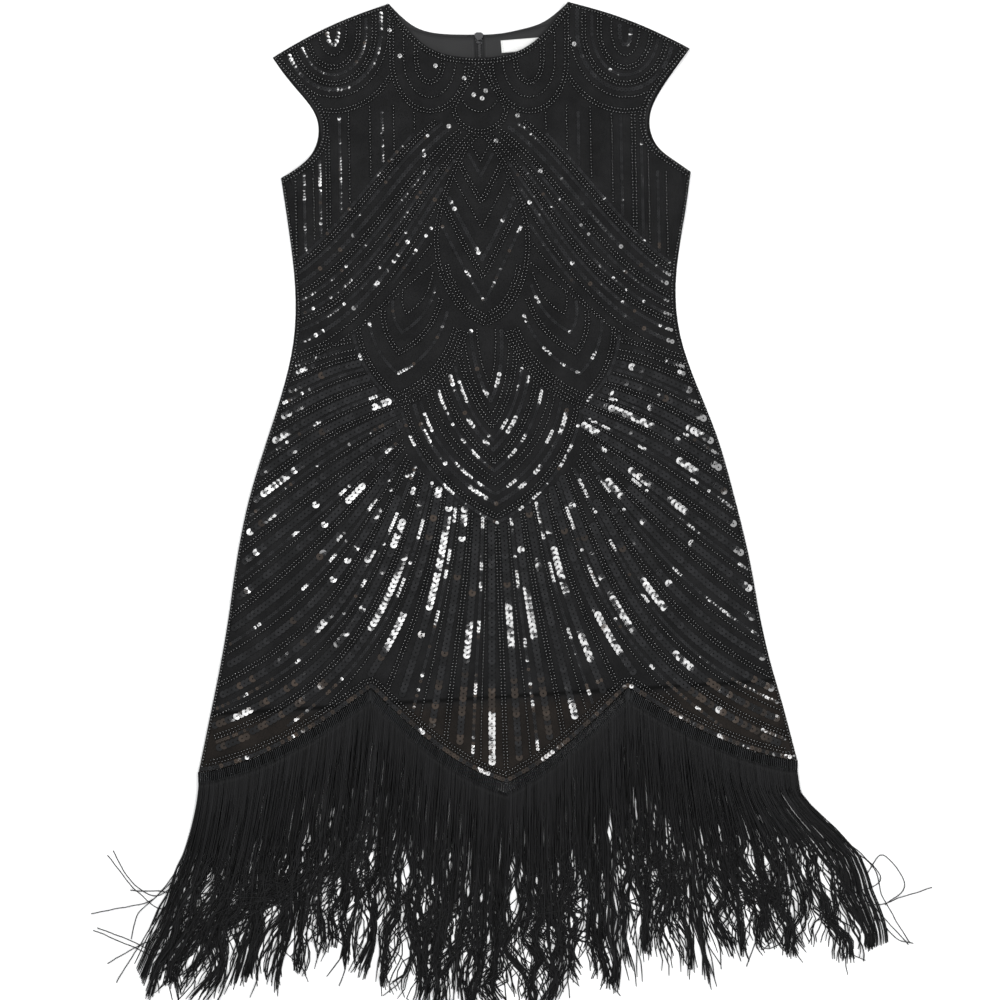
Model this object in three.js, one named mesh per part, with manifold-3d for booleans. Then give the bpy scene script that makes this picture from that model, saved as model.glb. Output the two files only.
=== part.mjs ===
// A fringed cap-sleeved evening dress, closed at the centre back, laid flat on its back.
// Millimetres. +X runs across the dress, +Y from the hem to the neck, +Z up from the surface that it
// lies on. The origin is on that surface, under the middle of the whole outline.
import * as THREE from "three";
import { mergeVertices } from "three/addons/utils/BufferGeometryUtils.js";
import Module from "manifold-3d";

const wasm = await Module();
wasm.setup();

// Cloth thicknesses, and the gap at each seam
const SHELL_THICK = 1.4;
const LINING_THICK = 1.0;
const TAPE_THICK = 0.6;
const LABEL_THICK = 0.5;
const SEAM_GAP = 0.3;

// Height of each layer's under face above the surface, away from the seams
const BACK_LINING_Z = 1.9;
const FRONT_LINING_Z = 4.2;
const FRONT_SHELL_Z = 5.7;

// The side edges from cap tip to hem. The dress lies a little askew, so the two sides differ.
const ARMHOLE_SECTIONS = [
  { at: "cap tip", leftX: -255, leftY: 484, rightX: 196, rightY: 494 },
  { at: "cap edge", leftX: -238, leftY: 460, rightX: 177, rightY: 468 },
  { at: "cap turn", leftX: -222, leftY: 442, rightX: 161, rightY: 444 },
  { at: "upper armhole", leftX: -208, leftY: 425, rightX: 152, rightY: 425 },
  { at: "deepest point", leftX: -204, leftY: 408, rightX: 151, rightY: 410 },
  { at: "lower armhole", leftX: -207, leftY: 387, rightX: 156, rightY: 393 },
  { at: "armhole turn", leftX: -217, leftY: 373, rightX: 165, rightY: 382 },
  { at: "armhole end", leftX: -231, leftY: 363, rightX: 182, rightY: 372 },
  { at: "underarm", leftX: -246, leftY: 354, rightX: 197, rightY: 361 },
];
const SEAM_SECTIONS = [
  { at: "underarm", leftX: -246, leftY: 354, rightX: 197, rightY: 361 },
  { at: "bust", leftX: -239, leftY: 308, rightX: 190, rightY: 308 },
  { at: "under bust", leftX: -233, leftY: 265, rightX: 181, rightY: 265 },
  { at: "waist", leftX: -228, leftY: 217, rightX: 178, rightY: 222 },
  { at: "lower waist", leftX: -230, leftY: 179, rightX: 184, rightY: 179 },
  { at: "high hip", leftX: -240, leftY: 136, rightX: 201, rightY: 136 },
  { at: "hip", leftX: -261, leftY: 71, rightX: 227, rightY: 71 },
  { at: "seat", leftX: -281, leftY: 6, rightX: 245, rightY: 6 },
  { at: "thigh", leftX: -294, leftY: -59, rightX: 261, rightY: -59 },
  { at: "skirt", leftX: -306, leftY: -145, rightX: 276, rightY: -145 },
  { at: "low skirt", leftX: -319, leftY: -210, rightX: 295, rightY: -210 },
  { at: "hem", leftX: -335, leftY: -288, rightX: 312, rightY: -275 },
];
const ARMHOLE_SHARE = 0.17; // of the way down a side edge, where the armhole ends

// The neck's corners, the low point of the front's edge, and how square each side's curve is
const NECK = {
  left: { x: -129, y: 542 },
  low: { x: -31, y: 483 },
  right: { x: 64, y: 544 },
  leftPower: 3.15,
  rightPower: 2.8,
};
const BACK_NECK = { low: { x: -32, y: 509 }, power: 5, rightLift: 5.5, liftFrom: 0.2, liftTo: 0.45 };
const SHOULDER_BOW = 6;

// The hem's low points and peaks, joined by four scallops that are power curves
const HEM = {
  left: { x: -335, y: -288 },
  leftPeak: { x: -149, y: -197 },
  point: { x: -2, y: -300 },
  rightPeak: { x: 129, y: -196 },
  right: { x: 312, y: -275 },
};
const SCALLOP_POWERS = { leftOuter: 1.6, leftInner: 1.48, rightInner: 1.3, rightOuter: 1.6 };

// Shares of the way across: the neck's corners lie above the hem's peaks
const ACROSS = { neckLeft: 0.277, centre: 0.495, neckRight: 0.706 };
const EDGE_FADE = 4; // how fast the top's and the hem's shapes give way to level rows

// What keeps back from the shell's edges
const ARMHOLE_SET_IN = 5;
const LINING_EDGE_SET_IN = 2.5;
const LINING_SEAM_SET_IN = 15;
const LINING_LENGTH_SHARE = 0.905;
const LINING_ABOVE_HEM = 7;

// How the front comes down to meet the back at a sewn edge, and sinks towards the hem
const ROLL_WIDTH = 14;
const ROLL_LEAD = 0.02;
const SET_IN_LEAD = 0.05;
const FRONT_HEM_DROP = { height: 0.9, reach: 90 };

// The zip at the centre back, and the small rise of every layer over its slider
const ZIP = { x: -32, top: 509, length: 500, tapeWidth: 24, tapeZ: 1.85, coilWidth: 3.3, coilRise: 1.1 };
const LINING_ZIP_GAP = 5;
const LINING_TAPE_RISE = 0.9;
const TAPE_RISE_FADE = { from: 19, to: 36 };
const ZIP_RISE = { y: 494, height: 2, flat: 32, reach: 84 };
const SLIDER = { width: 9.6, length: 8.2, thick: 1.6, shoulder: 2.4, slotWidth: 6.6, slotLength: 9.6 };
const HINGE = {
  y: 507,
  z: 1.8,
  rod: 0.5,
  bore: 0.75,
  outer: 1.45,
  width: 3,
  clear: 0.3,
  lug: 0.8,
  lugLength: 1.8,
};
const TAB = { length: 24, width: 6.4, thick: 1.2, neckLength: 2.4, hole: 1.5 };

const LABEL = { x: 15, y: 497.5, width: 46, height: 13.5, tilt: THREE.MathUtils.degToRad(5) };

// The broad soft ridges of the front
const FOLDS = [
  { at: "left bust", x: -190, y: 318, angle: 24, length: 110, width: 26, height: 1.7 },
  { at: "right bust", x: 140, y: 322, angle: 152, length: 100, width: 24, height: 1.4 },
  { at: "left waist", x: -168, y: 196, angle: 14, length: 120, width: 24, height: 1.8 },
  { at: "right waist", x: 122, y: 190, angle: 170, length: 110, width: 24, height: 1.5 },
  { at: "left hip", x: -196, y: 40, angle: 68, length: 190, width: 30, height: 2.0 },
  { at: "right hip", x: 176, y: 28, angle: 108, length: 180, width: 28, height: 1.7 },
  { at: "left skirt", x: -250, y: -140, angle: 74, length: 150, width: 28, height: 2.1 },
  { at: "middle skirt", x: -60, y: -95, angle: 86, length: 230, width: 34, height: 1.6 },
  { at: "right skirt", x: 214, y: -135, angle: 104, length: 160, width: 30, height: 1.9 },
  { at: "chest", x: -26, y: 395, angle: 94, length: 110, width: 34, height: 1.1 },
];
const LINING_FOLD_SHARE = 0.5;

// The fringe: its header strip, its locks, and where their tips lie from their roots
const HEADER = { width: 11, gap: 0.45, thick: 1.2 };
const LOCK = {
  count: 94,
  share: 0.36,
  most: 2.1,
  tip: 0.45,
  height: 1.3,
  rootIn: 3,
  rootLift: 0.1,
  endMargin: 0.001,
};
const LOCK_RINGS = [0, 0.28, 0.56, 0.82];
const FRINGE_FAN = [
  { across: 0.0, lean: -122, fall: 128 },
  { across: 0.012, lean: -106, fall: 152 },
  { across: 0.03, lean: -88, fall: 196 },
  { across: 0.07, lean: -72, fall: 208 },
  { across: 0.18, lean: -52, fall: 222 },
  { across: 0.279, lean: -34, fall: 262 },
  { across: 0.4, lean: -28, fall: 236 },
  { across: 0.5, lean: -24, fall: 226 },
  { across: 0.6, lean: 0, fall: 226 },
  { across: 0.706, lean: 12, fall: 262 },
  { across: 0.82, lean: 36, fall: 226 },
  { across: 0.93, lean: 66, fall: 198 },
  { across: 0.975, lean: 96, fall: 182 },
  { across: 0.99, lean: 122, fall: 140 },
  { across: 1.0, lean: 145, fall: 98 },
];
const LEAN_POWER = 1.25;
const CLUMPS = { count: 13, pull: 5 };
const SWAY = { reach: 6, waves: 1.1, drift: 2.6 };
const TIP_SCATTER = 12;
const BACK_FRINGE_Z = 0.4;
const FRONT_TIP_Z = 2.1;

const COLOURS = { net: 0x242324, lining: 0x2c2b2c, cord: 0x232224, metal: 0x333335, label: 0xe9e9e6 };

const mix = THREE.MathUtils.lerp;
const smooth = THREE.MathUtils.smoothstep;

// Even steps after a first value, up to and with the last
const steps = (from, to, count) => Array.from({ length: count }, (_, i) => mix(from, to, (i + 1) / count));

const edgeCurve = (sections, side) =>
  new THREE.CatmullRomCurve3(
    sections.map((section) => new THREE.Vector3(section[side + "X"], section[side + "Y"], 0)),
    false,
    "centripetal",
  );
const EDGE_CURVES = {
  left: { armhole: edgeCurve(ARMHOLE_SECTIONS, "left"), seam: edgeCurve(SEAM_SECTIONS, "left") },
  right: { armhole: edgeCurve(ARMHOLE_SECTIONS, "right"), seam: edgeCurve(SEAM_SECTIONS, "right") },
};

// A point of one side edge, from the cap's tip at 0 to the hem at 1
function sideEdge(side, down) {
  const { armhole, seam } = EDGE_CURVES[side];
  return down < ARMHOLE_SHARE
    ? armhole.getPointAt(down / ARMHOLE_SHARE)
    : seam.getPointAt((down - ARMHOLE_SHARE) / (1 - ARMHOLE_SHARE));
}

// The shoulder line from a cap's tip at 0 to its neck corner at 1
function shoulder(side, share) {
  const tip = sideEdge(side, 0);
  const corner = NECK[side];
  const bow = SHOULDER_BOW * 4 * share * (1 - share);
  return { x: mix(tip.x, corner.x, share), y: mix(tip.y, corner.y, share) + bow };
}

function frontNeck(x) {
  const side = x < NECK.low.x ? "left" : "right";
  const share = Math.abs((x - NECK.low.x) / (NECK[side].x - NECK.low.x));
  return mix(NECK.low.y, NECK[side].y, share ** NECK[side + "Power"]);
}

function backNeck(x) {
  const side = x < BACK_NECK.low.x ? "left" : "right";
  const share = Math.abs((x - BACK_NECK.low.x) / (NECK[side].x - BACK_NECK.low.x));
  const most = side === "right" ? BACK_NECK.rightLift : 0;
  const lift = most * smooth(share, BACK_NECK.liftFrom, BACK_NECK.liftTo);
  return mix(BACK_NECK.low.y + lift, NECK[side].y, share ** BACK_NECK.power);
}

// The whole top edge across the dress: shoulder, neck, shoulder
function topEdge(across, neckAt) {
  const { neckLeft, centre, neckRight } = ACROSS;
  if (across < neckLeft) return shoulder("left", across / neckLeft);
  if (across > neckRight) return shoulder("right", (1 - across) / (1 - neckRight));
  const x =
    across < centre
      ? mix(NECK.left.x, ZIP.x, (across - neckLeft) / (centre - neckLeft))
      : mix(ZIP.x, NECK.right.x, (across - centre) / (neckRight - centre));
  return { x, y: neckAt(x) };
}

function hemHeight(x) {
  const scallop = (low, peak, power) => {
    const share = Math.max(0, (x - low.x) / (peak.x - low.x));
    return mix(low.y, peak.y, share ** power);
  };
  if (x < HEM.leftPeak.x) return scallop(HEM.left, HEM.leftPeak, SCALLOP_POWERS.leftOuter);
  if (x < HEM.point.x) return scallop(HEM.point, HEM.leftPeak, SCALLOP_POWERS.leftInner);
  if (x < HEM.rightPeak.x) return scallop(HEM.point, HEM.rightPeak, SCALLOP_POWERS.rightInner);
  return scallop(HEM.right, HEM.rightPeak, SCALLOP_POWERS.rightOuter);
}

function hemEdge(across) {
  const x =
    across < ACROSS.centre
      ? mix(HEM.left.x, HEM.point.x, across / ACROSS.centre)
      : mix(HEM.point.x, HEM.right.x, (across - ACROSS.centre) / (1 - ACROSS.centre));
  return { x, y: hemHeight(x) };
}

// The line of the centre back, which leans a little as the dress lies
const centreX = (y) => mix(ZIP.x, HEM.point.x, (ZIP.top - y) / (ZIP.top - HEM.point.y));

// A piece of cloth between four edges, as a function of shares across and down
function patch({ left, right, top, hem }) {
  return (across, down) => {
    const a = left(down);
    const b = right(down);
    const topWeight = (1 - down) ** EDGE_FADE;
    const hemWeight = down ** EDGE_FADE;
    const blend = (axis) =>
      mix(a[axis], b[axis], across) +
      topWeight * (top(across)[axis] - mix(top(0)[axis], top(1)[axis], across)) +
      hemWeight * (hem(across)[axis] - mix(hem(0)[axis], hem(1)[axis], across));
    return { x: blend("x"), y: blend("y") };
  };
}

// How nearly a place on the outline is a sewn seam, 1, and not an open edge, 0
const seamAtSide = (down, lead, wait) =>
  Math.max(
    smooth(down, ARMHOLE_SHARE - lead - wait, ARMHOLE_SHARE - wait),
    1 - smooth(down, wait, lead + wait),
  );
const seamAtTop = (across, lead, wait) =>
  Math.max(
    1 - smooth(across, ACROSS.neckLeft + wait, ACROSS.neckLeft + wait + lead),
    smooth(across, ACROSS.neckRight - wait - lead, ACROSS.neckRight - wait),
  );

const armholeSetIn = (down) =>
  down < ARMHOLE_SHARE ? ARMHOLE_SET_IN * Math.sin((Math.PI * down) / ARMHOLE_SHARE) : 0;
const inward = { left: 1, right: -1 };

const frontEdges = {
  left: (down) => ({ x: sideEdge("left", down).x + armholeSetIn(down), y: sideEdge("left", down).y }),
  right: (down) => ({ x: sideEdge("right", down).x - armholeSetIn(down), y: sideEdge("right", down).y }),
  top: (across) => topEdge(across, frontNeck),
  hem: hemEdge,
};

// The side edge of a lining, kept back from the shell's
function liningSide(side, down, edgeSetIn) {
  const shellDown = down * LINING_LENGTH_SHARE;
  const seam = seamAtSide(shellDown, SET_IN_LEAD, ROLL_LEAD);
  const point = sideEdge(side, shellDown);
  const capDrop = LINING_SEAM_SET_IN * (1 - smooth(shellDown, ROLL_LEAD, ROLL_LEAD + SET_IN_LEAD));
  const setIn = mix(LINING_EDGE_SET_IN, LINING_SEAM_SET_IN, seam) + edgeSetIn(shellDown);
  return { x: point.x + inward[side] * setIn, y: point.y - capDrop };
}

// The top edge of a lining; its ends are the tops of its side edges
function liningTop(across, neckAt) {
  const point = topEdge(across, neckAt);
  const seam = seamAtTop(across, SET_IN_LEAD, 0);
  const squeeze = LINING_SEAM_SET_IN * (1 - 2 * across);
  return {
    x: point.x + (across < ACROSS.neckLeft || across > ACROSS.neckRight ? squeeze : 0) * seam,
    y: point.y - mix(LINING_EDGE_SET_IN, LINING_SEAM_SET_IN, seam),
  };
}

function liningHem(across) {
  const a = liningSide("left", 1, () => 0);
  const b = liningSide("right", 1, () => 0);
  const x = mix(a.x, b.x, across);
  return { x, y: Math.max(mix(a.y, b.y, across), hemHeight(x) + LINING_ABOVE_HEM) };
}

// The rise over the zip's slider, shared by every layer
const zipRise = (x, y) =>
  ZIP_RISE.height * (1 - smooth(Math.hypot(x - ZIP.x, y - ZIP_RISE.y), ZIP_RISE.flat, ZIP_RISE.reach));

function foldHeight(x, y) {
  return FOLDS.reduce((sum, fold) => {
    const angle = THREE.MathUtils.degToRad(fold.angle);
    const along = (x - fold.x) * Math.cos(angle) + (y - fold.y) * Math.sin(angle);
    const beside = (y - fold.y) * Math.cos(angle) - (x - fold.x) * Math.sin(angle);
    return sum + fold.height * Math.exp(-((beside / fold.width) ** 2) - (along / (0.5 * fold.length)) ** 4);
  }, 0);
}

// A closed wall over a grid of shares across and down; place gives x, y, low and high
function wallGeometry(acrosses, downs, place) {
  const columns = acrosses.length;
  const rows = downs.length;
  const points = downs.flatMap((down) => acrosses.map((across) => place(across, down)));
  const positions = ["high", "low"].flatMap((face) =>
    points.flatMap((point) => [point.x, point.y, point[face]]),
  );
  const index = [];
  const quad = (a, b, c, d) => index.push(a, b, c, a, c, d);
  const high = (row, column) => row * columns + column;
  const low = (row, column) => rows * columns + high(row, column);
  const endRow = rows - 1;
  const endColumn = columns - 1;
  for (let row = 0; row < endRow; row += 1) {
    for (let column = 0; column < endColumn; column += 1) {
      quad(high(row, column), high(row + 1, column), high(row + 1, column + 1), high(row, column + 1));
      quad(low(row, column), low(row, column + 1), low(row + 1, column + 1), low(row + 1, column));
    }
    quad(high(row + 1, 0), high(row, 0), low(row, 0), low(row + 1, 0));
    quad(high(row, endColumn), high(row + 1, endColumn), low(row + 1, endColumn), low(row, endColumn));
  }
  for (let column = 0; column < endColumn; column += 1) {
    quad(high(0, column), high(0, column + 1), low(0, column + 1), low(0, column));
    quad(high(endRow, column + 1), high(endRow, column), low(endRow, column), low(endRow, column + 1));
  }
  const geometry = new THREE.BufferGeometry();
  geometry.setAttribute("position", new THREE.Float32BufferAttribute(positions, 3));
  geometry.setIndex(index);
  return geometry;
}

// Joins and cuts of closed geometries
function toSolid(geometry) {
  const bare = new THREE.BufferGeometry().setAttribute("position", geometry.getAttribute("position"));
  if (geometry.index) bare.setIndex(geometry.index);
  const merged = mergeVertices(bare, 1e-4);
  return new wasm.Manifold(
    new wasm.Mesh({
      numProp: 3,
      vertProperties: Float32Array.from(merged.attributes.position.array),
      triVerts: Uint32Array.from(merged.index.array),
    }),
  );
}

function fromSolid(solid) {
  const mesh = solid.getMesh();
  const geometry = new THREE.BufferGeometry();
  geometry.setAttribute("position", new THREE.BufferAttribute(Float32Array.from(mesh.vertProperties), 3));
  geometry.setIndex(Array.from(mesh.triVerts));
  return geometry;
}

const joined = (geometries) => geometries.map(toSolid).reduce((all, solid) => all.add(solid));
const box = (width, length, height, x, y, z) =>
  new THREE.BoxGeometry(width, length, height).translate(x, y, z);

// The front: it comes down to the back at the shoulder and side seams
const SIDE_STEPS = [0.007, 0.017, 0.032];
const FRONT_ACROSS = [
  0,
  ...SIDE_STEPS,
  ...steps(SIDE_STEPS.at(-1), ACROSS.neckLeft, 5),
  ...steps(ACROSS.neckLeft, ACROSS.centre, 4),
  ...steps(ACROSS.centre, ACROSS.neckRight, 4),
  ...steps(ACROSS.neckRight, 1 - SIDE_STEPS.at(-1), 5),
  ...SIDE_STEPS.slice(0, -1).reverse().map((share) => 1 - share),
  1,
];
const SHOULDER_STEPS = [0.006, 0.016];
const FRONT_DOWN = [
  0,
  ...SHOULDER_STEPS,
  ...steps(SHOULDER_STEPS.at(-1), ARMHOLE_SHARE, 6),
  ...steps(ARMHOLE_SHARE, 1, 20),
];
const frontPoint = patch(frontEdges);

// How far the front and its lining have sunk towards the hem
const hemDrop = (x, y) => FRONT_HEM_DROP.height * (1 - smooth(y - hemHeight(x), 0, FRONT_HEM_DROP.reach));

// How far the front has come down to the back, 0 to 1
function seamRoll(across, down, point) {
  const fromSide = Math.min(point.x - frontEdges.left(down).x, frontEdges.right(down).x - point.x);
  const fromTop = down < ARMHOLE_SHARE ? frontEdges.top(across).y - point.y : ROLL_WIDTH;
  const side = seamAtSide(down, ROLL_LEAD, 0) * (1 - smooth(fromSide, 0, ROLL_WIDTH));
  const top = seamAtTop(across, ROLL_LEAD, -ROLL_LEAD) * (1 - smooth(fromTop, 0, ROLL_WIDTH));
  return Math.max(side, top);
}

function frontShell() {
  return wallGeometry(FRONT_ACROSS, FRONT_DOWN, (across, down) => {
    const point = frontPoint(across, down);
    const roll = seamRoll(across, down, point);
    const level = FRONT_SHELL_Z - hemDrop(point.x, point.y) + foldHeight(point.x, point.y);
    const low = mix(level, SHELL_THICK + SEAM_GAP, roll) + zipRise(point.x, point.y);
    return { ...point, low, high: low + SHELL_THICK };
  });
}

// The front lining's columns, some of them over the hem's peaks
const LINING_ACROSS = [0, ...steps(0, 0.268, 4), ...steps(0.268, 0.744, 7), ...steps(0.744, 1, 4)];
const liningUnderarm = ARMHOLE_SHARE / LINING_LENGTH_SHARE;
const LINING_DOWN = [0, ...steps(0, liningUnderarm, 6), ...steps(liningUnderarm, 1, 12)];

function frontLining() {
  const point = patch({
    left: (down) => liningSide("left", down, armholeSetIn),
    right: (down) => liningSide("right", down, armholeSetIn),
    top: (across) => liningTop(across, frontNeck),
    hem: liningHem,
  });
  return wallGeometry(LINING_ACROSS, LINING_DOWN, (across, down) => {
    const { x, y } = point(across, down);
    const low = FRONT_LINING_Z - hemDrop(x, y) + LINING_FOLD_SHARE * foldHeight(x, y) + zipRise(x, y);
    return { x, y, low, high: low + LINING_THICK };
  });
}

// A back half reaches from its side to the centre line, less what gap gives at each height
function backHalf(side, { sideAt, topAt, hemAt, gap }) {
  const toCentre = (share) => (side === "left" ? share * ACROSS.centre : mix(ACROSS.centre, 1, share));
  const centreLine = (down) => {
    const start = topAt(ACROSS.centre);
    const end = hemAt(ACROSS.centre);
    const y = mix(start.y, end.y, down);
    return { x: centreX(y) - inward[side] * gap(y), y };
  };
  const meetingCentre = (edge, down) => (share) => {
    const atCentre = side === "left" ? share === 1 : share === 0;
    return atCentre ? centreLine(down) : edge(toCentre(share));
  };
  return patch({
    left: side === "left" ? sideAt : centreLine,
    right: side === "left" ? centreLine : sideAt,
    top: meetingCentre(topAt, 0),
    hem: meetingCentre(hemAt, 1),
  });
}

// Columns of each back half, one of them from the neck's corner to the hem's peak
const backCorner = {
  left: ACROSS.neckLeft / ACROSS.centre,
  right: (ACROSS.neckRight - ACROSS.centre) / (1 - ACROSS.centre),
};
const BACK_ACROSS = {
  left: [0, ...steps(0, backCorner.left, 5), ...steps(backCorner.left, 1, 4)],
  right: [0, ...steps(0, backCorner.right, 4), ...steps(backCorner.right, 1, 5)],
};
const SLOT_STEPS = [0.006, 0.0115, 0.017];
const BACK_DOWN = [
  0,
  ...SLOT_STEPS,
  ...steps(SLOT_STEPS.at(-1), ARMHOLE_SHARE, 7),
  ...steps(ARMHOLE_SHARE, 1, 11),
];

function backShell(side) {
  const point = backHalf(side, {
    sideAt: (down) => sideEdge(side, down),
    topAt: (across) => topEdge(across, backNeck),
    hemAt: hemEdge,
    gap: (y) => (y > ZIP.top - SLIDER.slotLength ? SLIDER.slotWidth : SEAM_GAP) / 2,
  });
  return wallGeometry(BACK_ACROSS[side], BACK_DOWN, (across, down) => {
    const { x, y } = point(across, down);
    const low = zipRise(x, y);
    return { x, y, low, high: low + SHELL_THICK };
  });
}

function backLiningLow(x, y) {
  const fromZip = Math.abs(x - centreX(y));
  const overTape = LINING_TAPE_RISE * (1 - smooth(fromZip, TAPE_RISE_FADE.from, TAPE_RISE_FADE.to));
  return BACK_LINING_Z + overTape + zipRise(x, y);
}

// Where the lining's slit opens below the zip, and the share of a half's width at the tape's edge
const LINING_SLIT = { from: -60, to: -20 };
const LINING_AT_TAPE = 0.94;

function backLining(side) {
  const zipEnd = ZIP.top - ZIP.length;
  const point = backHalf(side, {
    sideAt: (down) => liningSide(side, down, () => 0),
    topAt: (across) => liningTop(across, backNeck),
    hemAt: liningHem,
    gap: (y) => mix(SEAM_GAP / 2, LINING_ZIP_GAP, smooth(y - zipEnd, LINING_SLIT.from, LINING_SLIT.to)),
  });
  const acrosses = [0, ...steps(0, LINING_AT_TAPE, 7), 1];
  const inOrder = side === "left" ? acrosses : acrosses.map((share) => 1 - share).reverse();
  return wallGeometry(inOrder, LINING_DOWN, (across, down) => {
    const { x, y } = point(across, down);
    const low = backLiningLow(x, y);
    return { x, y, low, high: low + LINING_THICK };
  });
}

// The zip: two tapes joined by their coil, with a slot above it for the slider's post
function zipStrip(width, top, bottom, z, thick) {
  return wallGeometry([-0.5, 0.5], [0, ...steps(0, 0.25, 10), ...steps(0.25, 1, 5)], (across, down) => {
    const y = mix(top, bottom, down);
    const x = centreX(y) + across * width;
    const low = z + zipRise(centreX(y), y);
    return { x, y, low, high: low + thick };
  });
}

function zipTape() {
  const bottom = ZIP.top - ZIP.length;
  const coilTop = ZIP.top - SLIDER.slotLength;
  const sink = 0.2;
  const tape = zipStrip(ZIP.tapeWidth, ZIP.top - 1, bottom, ZIP.tapeZ, TAPE_THICK);
  const coil = zipStrip(ZIP.coilWidth, coilTop, bottom, ZIP.tapeZ + TAPE_THICK - sink, ZIP.coilRise + sink);
  const slot = box(SLIDER.slotWidth, 2 * SLIDER.slotLength, 20, ZIP.x, ZIP.top, 0);
  return fromSolid(toSolid(tape).add(toSolid(coil)).subtract(toSolid(slot)));
}

const extruded = (shape, depth) =>
  new THREE.ExtrudeGeometry(shape, { depth, bevelEnabled: false, curveSegments: 10 });

// The slider's plate over the coil, its post through the slot, and the lugs and rod of its bridge
function zipSlider() {
  const plateZ = ZIP.tapeZ + TAPE_THICK + SEAM_GAP + ZIP_RISE.height;
  const half = SLIDER.width / 2;
  const shoulderY = SLIDER.shoulder;
  const outline = new THREE.Shape();
  outline.moveTo(-half, shoulderY);
  outline.lineTo(-half * 0.5, SLIDER.length / 2);
  outline.lineTo(half * 0.5, SLIDER.length / 2);
  outline.lineTo(half, shoulderY);
  outline.absellipse(0, shoulderY, half, SLIDER.length / 2 + shoulderY, 0, -Math.PI, true);
  const plate = extruded(outline, SLIDER.thick).translate(0, HINGE.y, plateZ);
  const lugX = HINGE.width / 2 + HINGE.clear + HINGE.lug / 2;
  const postWidth = 2 * lugX + HINGE.lug;
  const postZ = HINGE.z + HINGE.outer + HINGE.clear;
  const post = box(postWidth, 5, plateZ + 0.5 - postZ, 0, HINGE.y, (plateZ + 0.5 + postZ) / 2);
  const lugHeight = postZ + 0.2 - HINGE.z + HINGE.rod;
  const lugZ = HINGE.z - HINGE.rod + lugHeight / 2;
  const lugs = [-lugX, lugX].map((x) => box(HINGE.lug, HINGE.lugLength, lugHeight, x, HINGE.y, lugZ));
  const rod = new THREE.CylinderGeometry(HINGE.rod, HINGE.rod, postWidth - 0.2, 12);
  rod.rotateZ(Math.PI / 2).translate(0, HINGE.y, HINGE.z);
  return fromSolid(joined([plate, post, ...lugs, rod])).translate(ZIP.x, 0, 0);
}

// The pull tab: an eye round the slider's rod and a drop-shaped plate that lies under the back
function zipPull() {
  const half = TAB.width / 2;
  const neck = HINGE.width / 2;
  const startY = -(HINGE.bore + 0.25);
  const outline = new THREE.Shape();
  outline.moveTo(-neck, startY);
  outline.lineTo(-neck, -TAB.neckLength);
  outline.lineTo(-half * 0.75, -TAB.neckLength - 2);
  outline.lineTo(-half, -TAB.length + half);
  outline.absarc(0, -TAB.length + half, half, Math.PI, 2 * Math.PI, false);
  outline.lineTo(half * 0.75, -TAB.neckLength - 2);
  outline.lineTo(neck, -TAB.neckLength);
  outline.lineTo(neck, startY);
  outline.holes.push(new THREE.Path().absarc(0, -TAB.length + half, TAB.hole, 0, 2 * Math.PI, true));
  const plate = extruded(outline, TAB.thick).translate(0, HINGE.y, HINGE.z - HINGE.outer);
  const eyeShape = new THREE.Shape().absarc(0, 0, HINGE.outer, 0, 2 * Math.PI, false);
  eyeShape.holes.push(new THREE.Path().absarc(0, 0, HINGE.bore, 0, 2 * Math.PI, true));
  const eye = extruded(eyeShape, HINGE.width).translate(0, 0, -neck);
  eye.rotateY(Math.PI / 2).translate(0, HINGE.y, HINGE.z);
  return fromSolid(joined([eye, plate])).translate(ZIP.x, 0, 0);
}

// The blank label on the back lining, right of the zip
function label() {
  return wallGeometry([-0.5, ...steps(-0.5, 0.5, 6)], [0.5, 0, -0.5], (across, up) => {
    const alongX = across * LABEL.width;
    const alongY = up * LABEL.height;
    const x = LABEL.x + alongX * Math.cos(LABEL.tilt) - alongY * Math.sin(LABEL.tilt);
    const y = LABEL.y + alongX * Math.sin(LABEL.tilt) + alongY * Math.cos(LABEL.tilt);
    const low = backLiningLow(x, y) + LINING_THICK + SEAM_GAP;
    return { x, y, low, high: low + LABEL_THICK };
  });
}

// A repeatable scatter from -1 to 1
const scatter = (seed) => 2 * (((Math.sin(seed * 127.1) * 43758.5453) % 1 + 1) % 1) - 1;

// Lean and fall of the fringe at a place across the hem
function fanAt(across) {
  const found = FRINGE_FAN.findIndex((row) => row.across >= across);
  const next = found < 0 ? FRINGE_FAN.length - 1 : Math.max(1, found);
  const [a, b] = [FRINGE_FAN[next - 1], FRINGE_FAN[next]];
  const share = (across - a.across) / (b.across - a.across);
  return { lean: mix(a.lean, b.lean, share), fall: mix(a.fall, b.fall, share) };
}

// A point of the lock that hangs at a place across the hem, from its root at 0 to its tip at 1
function lockPoint(across, share, phase) {
  const root = hemEdge(across);
  const fan = fanAt(across);
  const inner = smooth(across, 0, 0.04) * (1 - smooth(across, 0.96, 1));
  const clump = -CLUMPS.pull * Math.sin(2 * Math.PI * (CLUMPS.count * across + phase)) * share ** 2;
  const swing = SWAY.waves * share + SWAY.drift * across + phase;
  const sway = SWAY.reach * share * Math.sin(2 * Math.PI * swing);
  return new THREE.Vector2(
    root.x + fan.lean * share ** LEAN_POWER + inner * (clump + sway),
    root.y - HEADER.gap - HEADER.width + LOCK.rootIn - fan.fall * share,
  );
}

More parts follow.
